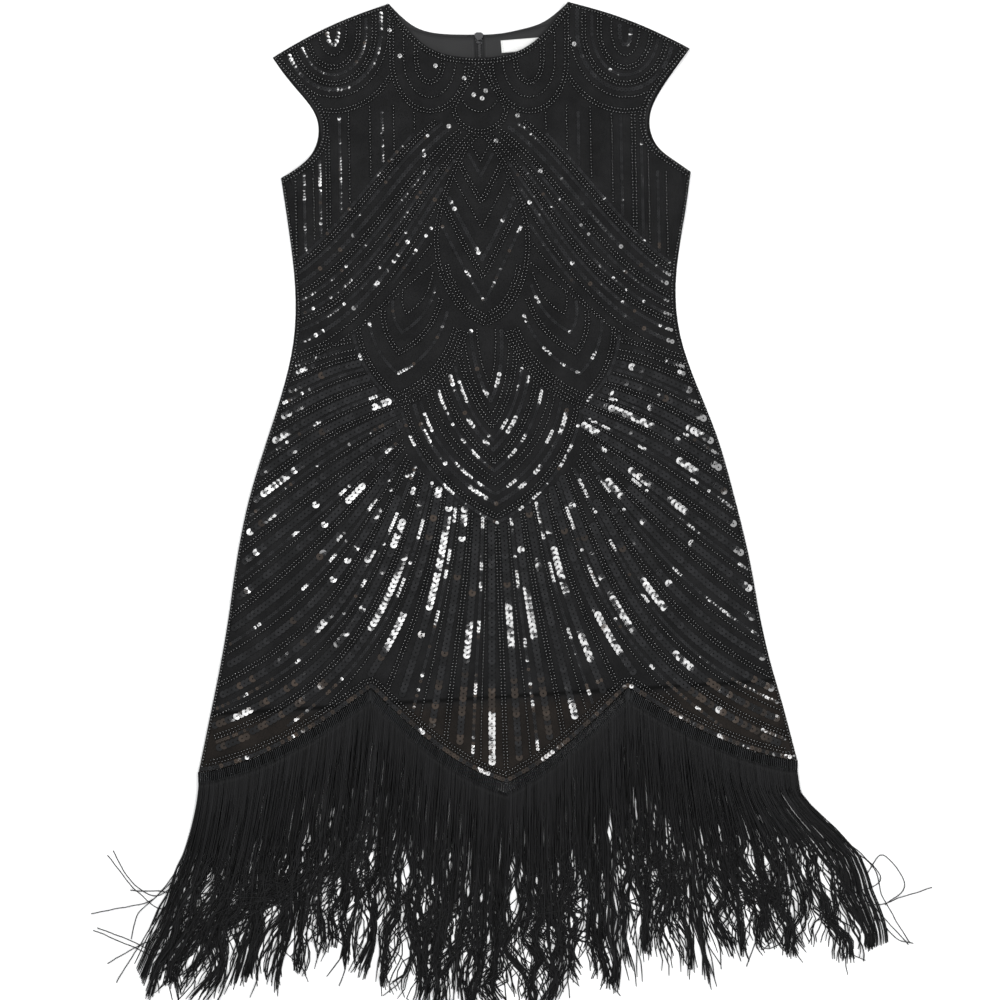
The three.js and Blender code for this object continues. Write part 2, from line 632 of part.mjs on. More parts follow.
// One lock: a three-sided strand that narrows to a point
function lockVertices(index, phase, heightAt) {
  const across = mix(LOCK.endMargin, 1 - LOCK.endMargin, index / (LOCK.count - 1));
  const scattered = TIP_SCATTER * scatter(index + 50 * phase + 1) * Math.sin(Math.PI * across);
  const reach = 1 + scattered / fanAt(across).fall;
  const vertices = [];
  for (const ring of LOCK_RINGS) {
    const share = ring * reach;
    const here = lockPoint(across, share, phase);
    const ahead = lockPoint(across, share + 0.02, phase).sub(here).normalize();
    const beside = new THREE.Vector2(-ahead.y, ahead.x);
    const [before, after] = [-0.5, 0.5].map((away) => lockPoint(across + away / LOCK.count, share, phase));
    const pitch = Math.abs(after.sub(before).dot(beside));
    const half = Math.min(LOCK.most, LOCK.share * pitch) * mix(1, LOCK.tip, ring);
    const low = heightAt(share);
    const top = low + mix(1, LOCK.height, smooth(ring, 0, 0.2)) * mix(1, 0.7, ring);
    vertices.push([here.x - beside.x * half, here.y - beside.y * half, low]);
    vertices.push([here.x + beside.x * half, here.y + beside.y * half, low]);
    vertices.push([here.x, here.y, top]);
  }
  const tip = lockPoint(across, reach, phase);
  vertices.push([tip.x, tip.y, heightAt(1) + 0.3]);
  return vertices;
}

function fringe(phase, columns, headerZ, heightAt) {
  const positions = [];
  const index = [];
  for (let lock = 0; lock < LOCK.count; lock += 1) {
    const first = positions.length / 3;
    positions.push(...lockVertices(lock, phase, heightAt).flat());
    const tip = first + 3 * LOCK_RINGS.length;
    index.push(first, first + 2, first + 1);
    for (let ring = 0; ring < LOCK_RINGS.length; ring += 1) {
      for (let side = 0; side < 3; side += 1) {
        const a = first + 3 * ring + side;
        const b = first + 3 * ring + ((side + 1) % 3);
        if (ring === LOCK_RINGS.length - 1) index.push(a, b, tip);
        else index.push(a, b, b + 3, a, b + 3, a + 3);
      }
    }
  }
  const locks = new THREE.BufferGeometry();
  locks.setAttribute("position", new THREE.Float32BufferAttribute(positions, 3));
  locks.setIndex(index);
  const header = wallGeometry(columns, [0, 1], (across, down) => {
    const { x, y } = hemEdge(across);
    return { x, y: y - HEADER.gap - down * HEADER.width, low: headerZ, high: headerZ + HEADER.thick };
  });
  return fromSolid(joined([header, locks]));
}

const FRONT_HEM_Z = FRONT_SHELL_Z - FRONT_HEM_DROP.height;
const frontFringe = () =>
  fringe(0.15, FRONT_ACROSS, FRONT_HEM_Z, (share) =>
    mix(FRONT_HEM_Z + LOCK.rootLift, FRONT_TIP_Z, smooth(share, 0.02, 0.7)),
  );

// The back header's columns are those of the two back halves' hems
const BACK_HEM_ACROSS = [
  ...BACK_ACROSS.left.map((share) => share * ACROSS.centre),
  ...BACK_ACROSS.right.slice(1).map((share) => mix(ACROSS.centre, 1, share)),
];
const backFringe = () => fringe(0.62, BACK_HEM_ACROSS, BACK_FRINGE_Z, () => BACK_FRINGE_Z + LOCK.rootLift);

const cloth = (color, roughness) => new THREE.MeshStandardMaterial({ color, roughness, metalness: 0 });
const PIECES = [
  { name: "shell_front", geometry: frontShell(), material: cloth(COLOURS.net, 0.8) },
  { name: "shell_back_left", geometry: backShell("left"), material: cloth(COLOURS.net, 0.8) },
  { name: "shell_back_right", geometry: backShell("right"), material: cloth(COLOURS.net, 0.8) },
  { name: "lining_front", geometry: frontLining(), material: cloth(COLOURS.lining, 0.75) },
  { name: "lining_back_left", geometry: backLining("left"), material: cloth(COLOURS.lining, 0.75) },
  { name: "lining_back_right", geometry: backLining("right"), material: cloth(COLOURS.lining, 0.75) },
  { name: "zip_tape", geometry: zipTape(), material: cloth(COLOURS.lining, 0.7) },
  { name: "label", geometry: label(), material: cloth(COLOURS.label, 0.6) },
  { name: "fringe_front", geometry: frontFringe(), material: cloth(COLOURS.cord, 0.6) },
  { name: "fringe_back", geometry: backFringe(), material: cloth(COLOURS.cord, 0.6) },
  {
    name: "zip_slider",
    geometry: zipSlider(),
    material: new THREE.MeshStandardMaterial({ color: COLOURS.metal, roughness: 0.45, metalness: 0.6 }),
  },
  {
    name: "zip_pull",
    geometry: zipPull(),
    material: new THREE.MeshStandardMaterial({ color: COLOURS.metal, roughness: 0.45, metalness: 0.6 }),
  },
];

const group = new THREE.Group();
for (const { name, geometry, material } of PIECES) {
  geometry.computeVertexNormals();
  const mesh = new THREE.Mesh(geometry, material);
  mesh.name = name;
  group.add(mesh);
}
export default group;
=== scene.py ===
"""A black beaded and sequinned evening dress with a fringed hem, laid flat on its back.

Metres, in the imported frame: +X runs across the dress, +Y from the hem to the neck, +Z up from the
surface that it lies on. The beadwork is laid out by formulas in half coordinates: the distance from
the centre line, and the height along it.
"""

import math

import bmesh
import bpy
import numpy as np
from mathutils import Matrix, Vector
from mathutils.bvhtree import BVHTree


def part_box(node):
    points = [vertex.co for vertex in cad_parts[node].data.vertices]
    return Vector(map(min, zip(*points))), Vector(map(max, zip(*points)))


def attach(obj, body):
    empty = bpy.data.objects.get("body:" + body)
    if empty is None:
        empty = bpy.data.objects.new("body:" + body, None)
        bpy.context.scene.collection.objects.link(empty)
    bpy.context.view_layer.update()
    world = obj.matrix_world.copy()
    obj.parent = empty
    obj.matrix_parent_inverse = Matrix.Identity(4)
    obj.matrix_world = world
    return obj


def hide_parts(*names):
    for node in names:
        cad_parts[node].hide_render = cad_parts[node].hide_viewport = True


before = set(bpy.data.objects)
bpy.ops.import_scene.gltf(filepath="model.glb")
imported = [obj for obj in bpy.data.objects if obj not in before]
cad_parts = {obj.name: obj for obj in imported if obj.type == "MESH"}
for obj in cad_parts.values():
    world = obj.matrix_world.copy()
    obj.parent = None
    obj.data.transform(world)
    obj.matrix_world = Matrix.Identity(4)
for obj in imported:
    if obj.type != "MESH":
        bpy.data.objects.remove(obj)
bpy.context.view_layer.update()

# The view: straight down, with this much of the surface in the frame
VIEW_CENTRE = (-0.0092, 0.0059)
VIEW_WIDTH = 1.08
CAMERA_HEIGHT = 3.4
DRESS_TOP = 0.007
SENSOR = 0.036

# The centre line, which leans and bends a little as the dress lies: heights, and the x at each
CENTRE_HEIGHTS = (-0.300, -0.016, 0.116, 0.196, 0.266, 0.390, 0.509)
CENTRE_PLACES = (-0.002, -0.0124, -0.0194, -0.0248, -0.0283, -0.0305, -0.032)

# Corners of the outline, which part the front's edge into neck, shoulders, armholes, sides and hem
CORNERS = {
    "neck_left": (-0.129, 0.542),
    "neck_right": (0.064, 0.544),
    "cap_left": (-0.255, 0.484),
    "cap_right": (0.196, 0.494),
    "underarm_left": (-0.246, 0.354),
    "underarm_right": (0.197, 0.361),
    "hem_left": (-0.335, -0.288),
    "hem_right": (0.312, -0.275),
}
# The lining's hem, which shows through the front: its height on the y axis and its slope
LINING_HEM_Y, LINING_HEM_SLOPE = -0.2062, 0.0603

# Beads and sequins: sizes and the distance from one to the next
BEAD = {"radius": 0.00132, "pitch": 0.0034}
SMALL_SEQUIN = {"radius": 0.0019, "pitch": 0.0032}
BIG_SEQUIN = {"radius": 0.0040, "pitch": 0.0052}
YOKE_SEQUIN = {"radius": 0.0025, "pitch": 0.0042}
DOUBLE_ROW_GAP = 0.0036
UNDERSIDE_BEAD_HEIGHT = 0.0013

# The zip: a straight line down the back, its upper and lower ends, and its coil
ZIP_TOP, ZIP_BOTTOM = (-0.032, 0.509), (-0.0135, 0.009)
COIL = {"start": 0.5022, "pitch": 0.00135, "reach": 0.0015, "thick": 0.00042}
PAINTED_EDGE = 0.00022

# The lights: place, aim, size and power; the sequins mirror the two panels overhead
SOFTBOXES = {
    "key_softbox": ((-1.5, 1.5, 2.6), (0, 0.1, 0), (1.2, 0.8), 42),
    "fill_softbox": ((1.9, 0.9, 2.5), (0, 0, 0), (1.2, 1.4), 34),
    "low_softbox": ((0.4, -2.3, 2.4), (0, -0.1, 0), (2.0, 0.8), 30),
}
PANELS = {
    "overhead_left": ((-1.0, 1.5, 3.1), (0, 0.1, 0), (0.6, 1.0), 34),
    "overhead_right": ((1.25, -0.6, 3.2), (0, -0.1, 0), (0.55, 0.95), 29),
}
SKY = {"Color": (0.96, 0.98, 1.0, 1), "Strength": 0.34}


# Small helpers


def table(columns, *rows):
    """Rows of values under named columns."""
    names = columns.split()
    return [dict(zip(names, row)) for row in rows]


def unit(vectors, least=0.0):
    """Vectors scaled to length 1."""
    return vectors / np.maximum(np.linalg.norm(vectors, axis=-1, keepdims=True), least)


def smooth(value, low, high):
    share = np.clip((np.asarray(value, float) - low) / (high - low), 0, 1)
    return share * share * (3 - 2 * share)


def centre_x(y):
    """The x of the centre line at a height."""
    return np.interp(y, CENTRE_HEIGHTS, CENTRE_PLACES)


def on_side(side, points):
    """Half coordinates (from the centre, height) as places on the left, -1, or right, 1, half."""
    points = np.asarray(points, float)
    return np.column_stack([centre_x(points[:, 1]) + side * points[:, 0], points[:, 1]])


def lengths(points):
    """The distance along a line at each of its points."""
    return np.concatenate([[0], np.cumsum(np.linalg.norm(np.diff(points, axis=0), axis=1))])


def resampled(points, pitch):
    """Points along a line, a pitch apart."""
    points = np.asarray(points, float)
    along = lengths(points)
    count = max(2, int(round(along[-1] / pitch)) + 1)
    at = np.linspace(0, along[-1], count)
    return np.column_stack([np.interp(at, along, points[:, axis]) for axis in range(points.shape[1])])


def bezier(*controls, count=60):
    """A cubic Bezier curve as points."""
    a, b, c, d = (np.array(control, float) for control in controls)
    t = np.linspace(0, 1, count)[:, None]
    return (1 - t) ** 3 * a + 3 * (1 - t) ** 2 * t * b + 3 * (1 - t) * t**2 * c + t**3 * d


def zip_x(y):
    """The x of the zip's line at a height."""
    return np.interp(y, [ZIP_BOTTOM[1], ZIP_TOP[1]], [ZIP_BOTTOM[0], ZIP_TOP[0]])


def through(points, count=12):
    """A smooth line through points."""
    points = np.asarray(points, float)
    padded = np.vstack([2 * points[0] - points[1], points, 2 * points[-1] - points[-2]])
    t = np.linspace(0, 1, count, endpoint=False)[:, None]
    parts = []
    for a, b, c, d in zip(padded[:-3], padded[1:-2], padded[2:-1], padded[3:]):
        square, cube = 2 * a - 5 * b + 4 * c - d, 3 * b - a - 3 * c + d
        parts.append(0.5 * (2 * b + (c - a) * t + square * t**2 + cube * t**3))
    return np.vstack([*parts, points[-1:]])


def bowed(start, end, bow):
    """An arc from one point to another that bows to the left of its direction by a share of its length."""
    start, end = np.array(start, float), np.array(end, float)
    ahead = end - start
    middle = (start + end) / 2 + bow * np.array([-ahead[1], ahead[0]])
    t = np.linspace(0, 1, 40)[:, None]
    return (1 - t) ** 2 * start + 2 * (1 - t) * t * (2 * middle - (start + end) / 2) + t**2 * end


def normals_of(points):
    """Unit normals, to the left of a line's direction."""
    ahead = unit(np.gradient(points, axis=0), 1e-9)
    return np.column_stack([-ahead[:, 1], ahead[:, 0]])


def beside(points, distance):
    """A line parallel to another, to its left."""
    points = np.asarray(points, float)
    return points + distance * normals_of(points)


def inside(points, polygon):
    """Which points lie in a polygon."""
    points, polygon = np.asarray(points, float), np.asarray(polygon, float)
    found = np.zeros(len(points), bool)
    x, y = points[:, 0], points[:, 1]
    for (ax, ay), (bx, by) in zip(polygon, np.roll(polygon, -1, axis=0)):
        crosses = (ay > y) != (by > y)
        with np.errstate(divide="ignore", invalid="ignore"):
            at = ax + (y - ay) * (bx - ax) / (by - ay)
        found ^= crosses & (x < at)
    return found


def wave(values, seed):
    """A smooth repeatable wander from about -1 to 1, one wander for each seed."""
    phases = np.random.default_rng(seed).uniform(0, 2 * np.pi, 3)
    values = np.asarray(values, float)
    return (
        0.5 * np.sin(values + phases[0])
        + 0.32 * np.sin(1.73 * values + phases[1])
        + 0.25 * np.sin(2.91 * values + phases[2])
    )


def new_object(name, vertices, faces, materials, material_index=None, smooth_shading=True):
    """A mesh object from arrays."""
    mesh = bpy.data.meshes.new(name)
    mesh.from_pydata(np.asarray(vertices, float).tolist(), [], [list(face) for face in faces])
    for material in materials:
        mesh.materials.append(material)
    if material_index is not None:
        mesh.polygons.foreach_set("material_index", np.asarray(material_index, np.int32))
    mesh.polygons.foreach_set("use_smooth", np.full(len(mesh.polygons), smooth_shading))
    mesh.update()
    obj = bpy.data.objects.new(name, mesh)
    bpy.context.scene.collection.objects.link(obj)
    return obj


# Stage: camera, floor and soft light


def make_camera():
    camera = bpy.data.objects.new("camera", bpy.data.cameras.new("camera"))
    bpy.context.scene.collection.objects.link(camera)
    camera.data.sensor_width = SENSOR * 1000
    camera.data.lens = SENSOR * 1000 * (CAMERA_HEIGHT - DRESS_TOP) / VIEW_WIDTH
    camera.location = (*VIEW_CENTRE, CAMERA_HEIGHT)
    bpy.context.scene.camera = camera


def area_light(name, place, aim, size, power):
    light = bpy.data.objects.new(name, bpy.data.lights.new(name, "AREA"))
    light.data.shape = "RECTANGLE"
    light.data.size, light.data.size_y = size
    light.data.energy = power
    light.location = place
    light.rotation_euler = (Vector(aim) - Vector(place)).to_track_quat("-Z", "Y").to_euler()
    bpy.context.scene.collection.objects.link(light)


def make_light():
    for name, settings in {**SOFTBOXES, **PANELS}.items():
        area_light(name, *settings)
    world = bpy.data.worlds.new("studio")
    world.use_nodes = True
    for socket, value in SKY.items():
        world.node_tree.nodes["Background"].inputs[socket].default_value = value
    bpy.context.scene.world = world


def make_tone():
    """Plain tones, so that blacks stay black and the pale floor stays pale."""
    bpy.context.scene.view_settings.view_transform = "Standard"
    bpy.context.scene.view_settings.look = "None"


def make_floor(material):
    half = 6.0
    corners = [(-half, -half, 0), (half, -half, 0), (half, half, 0), (-half, half, 0)]
    floor = new_object("floor", corners, [(0, 1, 2, 3)], [material], smooth_shading=False)


# Materials


def principled(name, colour, roughness, **sockets):
    """A material with its uniform values on the shader's own sockets."""
    made = bpy.data.materials.new(name)
    made.use_nodes = True
    shader = made.node_tree.nodes["Principled BSDF"]
    shader.inputs["Base Color"].default_value = (*colour, 1)
    shader.inputs["Roughness"].default_value = roughness
    for socket, value in sockets.items():
        shader.inputs[socket.replace("_", " ")].default_value = value
    return made


def node(material, kind, links=(), **settings):
    """A node with its settings; names that are sockets are set there, and links are (output, socket)."""
    made = material.node_tree.nodes.new(kind)
    for key, value in settings.items():
        socket = key.replace("_", " ")
        if socket in made.inputs:
            made.inputs[socket].default_value = value
        else:
            setattr(made, key, value)
    for output, socket in links:
        material.node_tree.links.new(output, made.inputs[socket])
    return made


def object_place(material):
    return node(material, "ShaderNodeTexCoord").outputs["Object"]


def to_shader(material, output, socket):
    shader = material.node_tree.nodes["Principled BSDF"]
    material.node_tree.links.new(output, shader.inputs[socket])


def fed(material, socket, value):
    """Gives a socket a number, a colour or another node's output."""
    if isinstance(value, bpy.types.NodeSocket):
        material.node_tree.links.new(value, socket)
    else:
        socket.default_value = value


def computed(material, operation, *values):
    """The output of a math node on outputs and numbers."""
    made = node(material, "ShaderNodeMath", operation=operation)
    for socket, value in zip(made.inputs, values):
        fed(material, socket, value)
    return made.outputs[0]


def texture(material, kind, output="Fac", **settings):
    """A texture's output, laid out in the object's own place."""
    made = node(material, "ShaderNodeTex" + kind, [(object_place(material), "Vector")], **settings)
    return made.outputs[output]


def mapped(material, value, low, high, to_low=0.0, to_high=1.0):
    """A value moved from one range to another."""
    made = node(material, "ShaderNodeMapRange", [(value, "Value")])
    for socket, end in (("From Min", low), ("From Max", high), ("To Min", to_low), ("To Max", to_high)):
        made.inputs[socket].default_value = end
    return made.outputs["Result"]


def colour_between(material, factor, dark, light):
    """A mix of two colours or outputs."""
    mixed = node(material, "ShaderNodeMix", data_type="RGBA")
    material.node_tree.links.new(factor, mixed.inputs[0])
    for socket, colour in ((mixed.inputs[6], dark), (mixed.inputs[7], light)):
        fed(material, socket, (*colour, 1) if isinstance(colour, tuple) else colour)
    return mixed.outputs[2]


def coloured(material, factor, dark, light):
    to_shader(material, colour_between(material, factor, dark, light), "Base Color")


def bump(material, height, strength, distance):
    made = node(material, "ShaderNodeBump", [(height, "Height")], Strength=strength, Distance=distance)
    to_shader(material, made.outputs["Normal"], "Normal")


# The net: cells, their cloudy tone, its two tones over the lining and below the lining's hem, and a
# near-black line of painted shade along that hem
NET = {
    "cells": 720.0,
    "cloud": 38.0,
    "over_lining": ((0.0035, 0.0035, 0.0037), (0.0175, 0.0175, 0.018)),
    "below_lining": ((0.0045, 0.0038, 0.0034), (0.0225, 0.0182, 0.0152)),
    # The painted shade along the lining's hem: its colour, and how far from the hem it reaches
    "seam": (0.001, 0.001, 0.001),
    "seam_reach": (0.0008, 0.0034),
    "change": (0.001, -0.012),
}


def net_material():
    """Fine black net over cloth; it looks browner below the hem of the lining, with a line of painted shade
    along that hem.
    """
    made = principled("net", (0.012, 0.012, 0.0125), 0.85, Specular_IOR_Level=0.12)
    cells = texture(made, "Voronoi", "Distance", Scale=NET["cells"], feature="DISTANCE_TO_EDGE")
    cloud = texture(made, "Noise", Scale=NET["cloud"], Detail=5.0)
    shade = computed(made, "MULTIPLY_ADD", cells, -1.4, cloud)
    over_hem = node(made, "ShaderNodeVectorMath", [(object_place(made), "Vector")], operation="DOT_PRODUCT")
    over_hem.inputs[1].default_value = (-LINING_HEM_SLOPE, 1, 0)
    from_hem = computed(made, "SUBTRACT", over_hem.outputs["Value"], LINING_HEM_Y)
    below = mapped(made, from_hem, *NET["change"])
    # Painted shade: a near-black line along the lining's hem, where its folded edge shows through the net and
    # the net steps down over it
    seam = mapped(made, computed(made, "ABSOLUTE", from_hem), *NET["seam_reach"])
    over, under = (colour_between(made, shade, *NET[place]) for place in ("over_lining", "below_lining"))
    coloured(made, seam, NET["seam"], colour_between(made, below, over, under))
    bump(made, shade, 0.5, 0.0004)
    return made


def woven_material(name, dark, light, roughness, thread, sheen):
    """Plain weave: two crossed sets of fine threads."""
    made = principled(name, dark, roughness, Specular_IOR_Level=sheen)
    threads = [texture(made, "Wave", Scale=thread, Distortion=0.6, bands_direction=way) for way in "XY"]
    both = computed(made, "MULTIPLY", *threads)
    cloud = texture(made, "Noise", Scale=24.0, Detail=4.0)
    coloured(made, computed(made, "MULTIPLY", computed(made, "ADD", both, cloud), 0.6), dark, light)
    bump(made, both, 0.35, 0.0003)
    return made


def per_piece_material(name, dark, light, roughness, grain=1400.0, depth=0.0002, **sockets):
    """A finish that differs a little from one small piece to the next."""
    made = principled(name, dark, roughness, **sockets)
    island = node(made, "ShaderNodeNewGeometry").outputs["Random Per Island"]
    coloured(made, island, dark, light)
    to_shader(made, mapped(made, island, 0.0, 1.0, roughness * 0.8, roughness * 1.3), "Roughness")
    bump(made, texture(made, "Noise", Scale=grain, Detail=2.0), 0.25, depth)
    return made


def metal_material():
    """Black paint on metal, worn to grey in small specks."""
    made = principled("zip_paint", (0.04, 0.04, 0.042), 0.42, Metallic=0.5)
    specks = texture(made, "Noise", Scale=900.0, Detail=4.0)
    coloured(made, specks, (0.020, 0.020, 0.021), (0.060, 0.060, 0.063))
    bump(made, specks, 0.2, 0.0001)
    return made


def floor_material():
    made = principled("floor_paper", (0.9, 0.9, 0.9), 0.9)
    coloured(made, texture(made, "Noise", Scale=3.0, Detail=3.0), (0.89, 0.89, 0.89), (0.92, 0.92, 0.92))
    return made


WOVEN = table(
    "key name dark light roughness thread sheen",
    ("lining", "lining_cloth", (0.0138, 0.0138, 0.0142), (0.0290, 0.0290, 0.0297), 0.62, 900.0, 0.2),
    ("tape", "zip_tape_cloth", (0.014, 0.014, 0.0145), (0.032, 0.032, 0.033), 0.7, 700.0, 0.1),
    ("label", "label_satin", (0.62, 0.62, 0.61), (0.80, 0.80, 0.79), 0.42, 1100.0, 0.2),
)
SMALL_THINGS = table(
    "key name dark light roughness",
    ("bead", "bead_glass", (0.0008, 0.0008, 0.001), (0.0035, 0.0035, 0.004), 0.12),
    ("sequin", "sequin_film", (0.003, 0.003, 0.0033), (0.012, 0.012, 0.013), 0.1),
    ("sequin_brown", "sequin_film_warm", (0.012, 0.009, 0.007), (0.04, 0.028, 0.020), 0.14),
    ("cord", "fringe_cord", (0.0014, 0.0014, 0.0015), (0.0118, 0.0118, 0.0126), 0.5),
    ("header", "fringe_header", (0.0035, 0.0037, 0.0040), (0.0175, 0.0183, 0.0196), 0.55),
    ("coil", "zip_coil", (0.030, 0.030, 0.031), (0.060, 0.060, 0.062), 0.45),
    ("label_thread", "label_thread", (0.36, 0.36, 0.35), (0.5, 0.5, 0.49), 0.6),
    ("thread", "sewing_thread", (0.02, 0.02, 0.021), (0.04, 0.04, 0.042), 0.6),
)
# What a finish has besides: the scale and depth of its grain, and the shader's own values
BESIDES = {
    "bead": {"IOR": 1.85},
    "sequin": {"grain": 900.0, "depth": 0.00003, "IOR": 1.58},
    "sequin_brown": {"grain": 900.0, "depth": 0.00003, "IOR": 1.65},
    "cord": {"grain": 900.0, "depth": 0.0004, "Specular_IOR_Level": 0.16},
    "header": {"grain": 900.0, "depth": 0.0004, "Specular_IOR_Level": 0.2},
}


def make_materials():
    made = {"net": net_material(), "metal": metal_material(), "floor": floor_material()}
    for row in WOVEN:
        key = row.pop("key")
        made[key] = woven_material(**row)
    for row in SMALL_THINGS:
        key = row.pop("key")
        made[key] = per_piece_material(**row, **BESIDES.get(key, {}))
    return made


# Cloth: each shell and lining is its solid's form, made finer, thinned and creased

# Soft creases: place, direction in degrees, length, half width, and height, a trough where it is below 0
CREASES = table(
    "x y angle length width height",
    (-0.205, 0.226, 12, 0.085, 0.009, 0.0011),
    (-0.196, 0.203, 18, 0.06, 0.008, 0.0007),
    (0.15, 0.232, 168, 0.08, 0.009, 0.001),
    (0.158, 0.206, 160, 0.055, 0.007, 0.0007),
    (-0.214, 0.33, 38, 0.06, 0.008, 0.0009),
    (0.166, 0.336, 146, 0.065, 0.009, 0.0009),
    (-0.236, 0.078, 64, 0.11, 0.01, 0.0012),
    (0.214, 0.06, 112, 0.12, 0.01, 0.0011),
    (-0.282, -0.12, 70, 0.12, 0.011, 0.0014),
    (0.262, -0.104, 108, 0.14, 0.012, 0.0013),
    (-0.18, -0.12, 78, 0.11, 0.012, 0.0009),
    (0.15, -0.11, 101, 0.12, 0.012, 0.0009),
    (-0.07, -0.19, 86, 0.12, 0.011, 0.0008),
    (0.052, -0.205, 93, 0.11, 0.01, 0.0008),
    (-0.01, -0.12, 88, 0.16, 0.014, 0.0006),
    (-0.095, 0.33, 60, 0.08, 0.01, 0.0006),
    (0.04, 0.322, 118, 0.07, 0.01, 0.0006),
    (0.008, -0.202, 3.4, 0.3, 0.003, 0.0006),
    (0.008, -0.2075, 3.4, 0.3, 0.003, -0.0007),
)
# How much thinner than its solid a shell's cloth is, so that beads fit under the back
SHELL_THINNED = 0.0008
# Degrees that say which faces join, and which edges and corners stay sharp; level is a rise over a length
SMOOTHING = {"flat": 25, "square": 80, "edge": 50, "corner": 148, "level": 0.6}
# Where the lining is turned over the neck's edge
TURNED = {"from": -0.127, "to": 0.062, "above": 0.47}


def crease_height(x, y):
    total = np.zeros_like(x)
    for crease in CREASES:
        angle = math.radians(crease["angle"])
        along = (x - crease["x"]) * math.cos(angle) + (y - crease["y"]) * math.sin(angle)
        across = (y - crease["y"]) * math.cos(angle) - (x - crease["x"]) * math.sin(angle)
        bend = across - 0.05 * along * along / crease["length"]
        fade = -((bend / crease["width"]) ** 2) - (2 * along / crease["length"]) ** 4
        total += crease["height"] * np.exp(fade)
    return total


def marked_for_smoothing(mesh, thinner):
    """Thins the cloth from below, joins triangles into quads, and marks edges and corners that stay."""
    shape = bmesh.new()
    shape.from_mesh(mesh)
    bmesh.ops.remove_doubles(shape, verts=shape.verts, dist=1e-5)
    shape.normal_update()
    for vertex in [vertex for vertex in shape.verts if vertex.normal.z < 0]:
        vertex.co.z += thinner
    bmesh.ops.join_triangles(
        shape,
        faces=shape.faces,
        angle_face_threshold=math.radians(SMOOTHING["flat"]),
        angle_shape_threshold=math.radians(SMOOTHING["square"]),
    )
    edge_layer = shape.edges.layers.float.new("crease_edge")
    corner_layer = shape.verts.layers.float.new("crease_vert")
    for edge in shape.edges:
        if len(edge.link_faces) == 2 and edge.calc_face_angle(0) > math.radians(SMOOTHING["edge"]):
            edge[edge_layer] = 1
    for vertex in shape.verts:
        level = []
        for edge in vertex.link_edges:
            ahead = edge.other_vert(vertex).co - vertex.co
            if edge[edge_layer] and abs(ahead.z) < SMOOTHING["level"] * edge.calc_length():
                level.append(ahead)
        if len(level) == 2 and level[0].angle(level[1], math.pi) < math.radians(SMOOTHING["corner"]):
            vertex[corner_layer] = 1
    shape.to_mesh(mesh)
    shape.free()


def cloth_piece(name, cad_node, material, crease_share=0.0, thinner=0.0, levels=2):
    """A finer copy of a solid, thinned from below and raised by its share of the creases."""
    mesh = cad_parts[cad_node].data.copy()
    mesh.name = name
    marked_for_smoothing(mesh, thinner)
    coarse = bpy.data.objects.new(name + "_coarse", mesh)
    bpy.context.scene.collection.objects.link(coarse)
    finer = coarse.modifiers.new("finer", "SUBSURF")
    finer.levels = finer.render_levels = levels
    finer.uv_smooth = "NONE"
    evaluated = coarse.evaluated_get(bpy.context.evaluated_depsgraph_get())
    fine = bpy.data.meshes.new_from_object(evaluated)
    bpy.data.objects.remove(coarse)
    places = np.zeros(len(fine.vertices) * 3)
    fine.vertices.foreach_get("co", places)
    places = places.reshape(-1, 3)
    places[:, 2] += crease_share * crease_height(places[:, 0], places[:, 1])
    fine.vertices.foreach_set("co", places.ravel())
    fine.materials.clear()
    fine.materials.append(material)
    fine.polygons.foreach_set("use_smooth", np.full(len(fine.polygons), True))
    fine.update()
    fine.name = name
    piece = bpy.data.objects.new(name, fine)
    bpy.context.scene.collection.objects.link(piece)
    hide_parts(cad_node)
    return piece


def turned_neck(piece, lining):
    """Shows lining along the back's neck, where it is turned over the edge."""
    piece.data.materials.append(lining)
    for face in piece.data.polygons:
        x, y, _ = face.center
        if TURNED["from"] < x < TURNED["to"] and y > TURNED["above"] and face.normal.z > -0.5:
            face.material_index = 1


def make_cloth(materials):
    net, lining = materials["net"], materials["lining"]
    cloth = {
        "front": cloth_piece("front_net", "shell_front", net, 1.0, SHELL_THINNED),
        "back_left": cloth_piece("back_left_net", "shell_back_left", net, 0.0, SHELL_THINNED),
        "back_right": cloth_piece("back_right_net", "shell_back_right", net, 0.0, SHELL_THINNED),
        "front_lining": cloth_piece("front_lining", "lining_front", lining, 0.25),
        "back_left_lining": cloth_piece("back_left_lining", "lining_back_left", lining),
        "back_right_lining": cloth_piece("back_right_lining", "lining_back_right", lining),
    }
    for name in ("back_left", "back_right"):
        turned_neck(cloth[name], lining)
    return cloth


# The front's edge, read from the finished front


def rim_loop(piece):
    """The upper rim of a cloth piece as one closed line of points."""
    shape = bmesh.new()
    shape.from_mesh(piece.data)
    neighbours = {}
    for edge in shape.edges:
        level = [face for face in edge.link_faces if face.normal.z > 0.5]
        if len(edge.link_faces) == 2 and len(level) == 1:
            a, b = (vertex.index for vertex in edge.verts)
            neighbours.setdefault(a, []).append(b)
            neighbours.setdefault(b, []).append(a)
    places = {vertex.index: (vertex.co.x, vertex.co.y) for vertex in shape.verts}
    shape.free()
    loops, seen = [], set()
    for start in sorted(neighbours, key=lambda index: len(neighbours[index]) == 2):
        if start in seen:
            continue
        loop, here = [start], start
        seen.add(start)
        while True:
            ahead = [other for other in neighbours[here] if other not in seen]
            if not ahead:
                break
            here = ahead[0]
            seen.add(here)
            loop.append(here)
        loops.append(loop)
    return np.array([places[index] for index in max(loops, key=len)])


def part_of_rim(loop, start, end):
    """The shorter way round a rim between the points nearest two places."""
    a = int(np.argmin(np.linalg.norm(loop - np.array(start), axis=1)))
    b = int(np.argmin(np.linalg.norm(loop - np.array(end), axis=1)))
    forward = np.roll(loop, -a, axis=0)[: (b - a) % len(loop) + 1]
    backward = np.roll(loop[::-1], -(len(loop) - 1 - a), axis=0)[: (a - b) % len(loop) + 1]
    return forward if lengths(forward)[-1] < lengths(backward)[-1] else backward


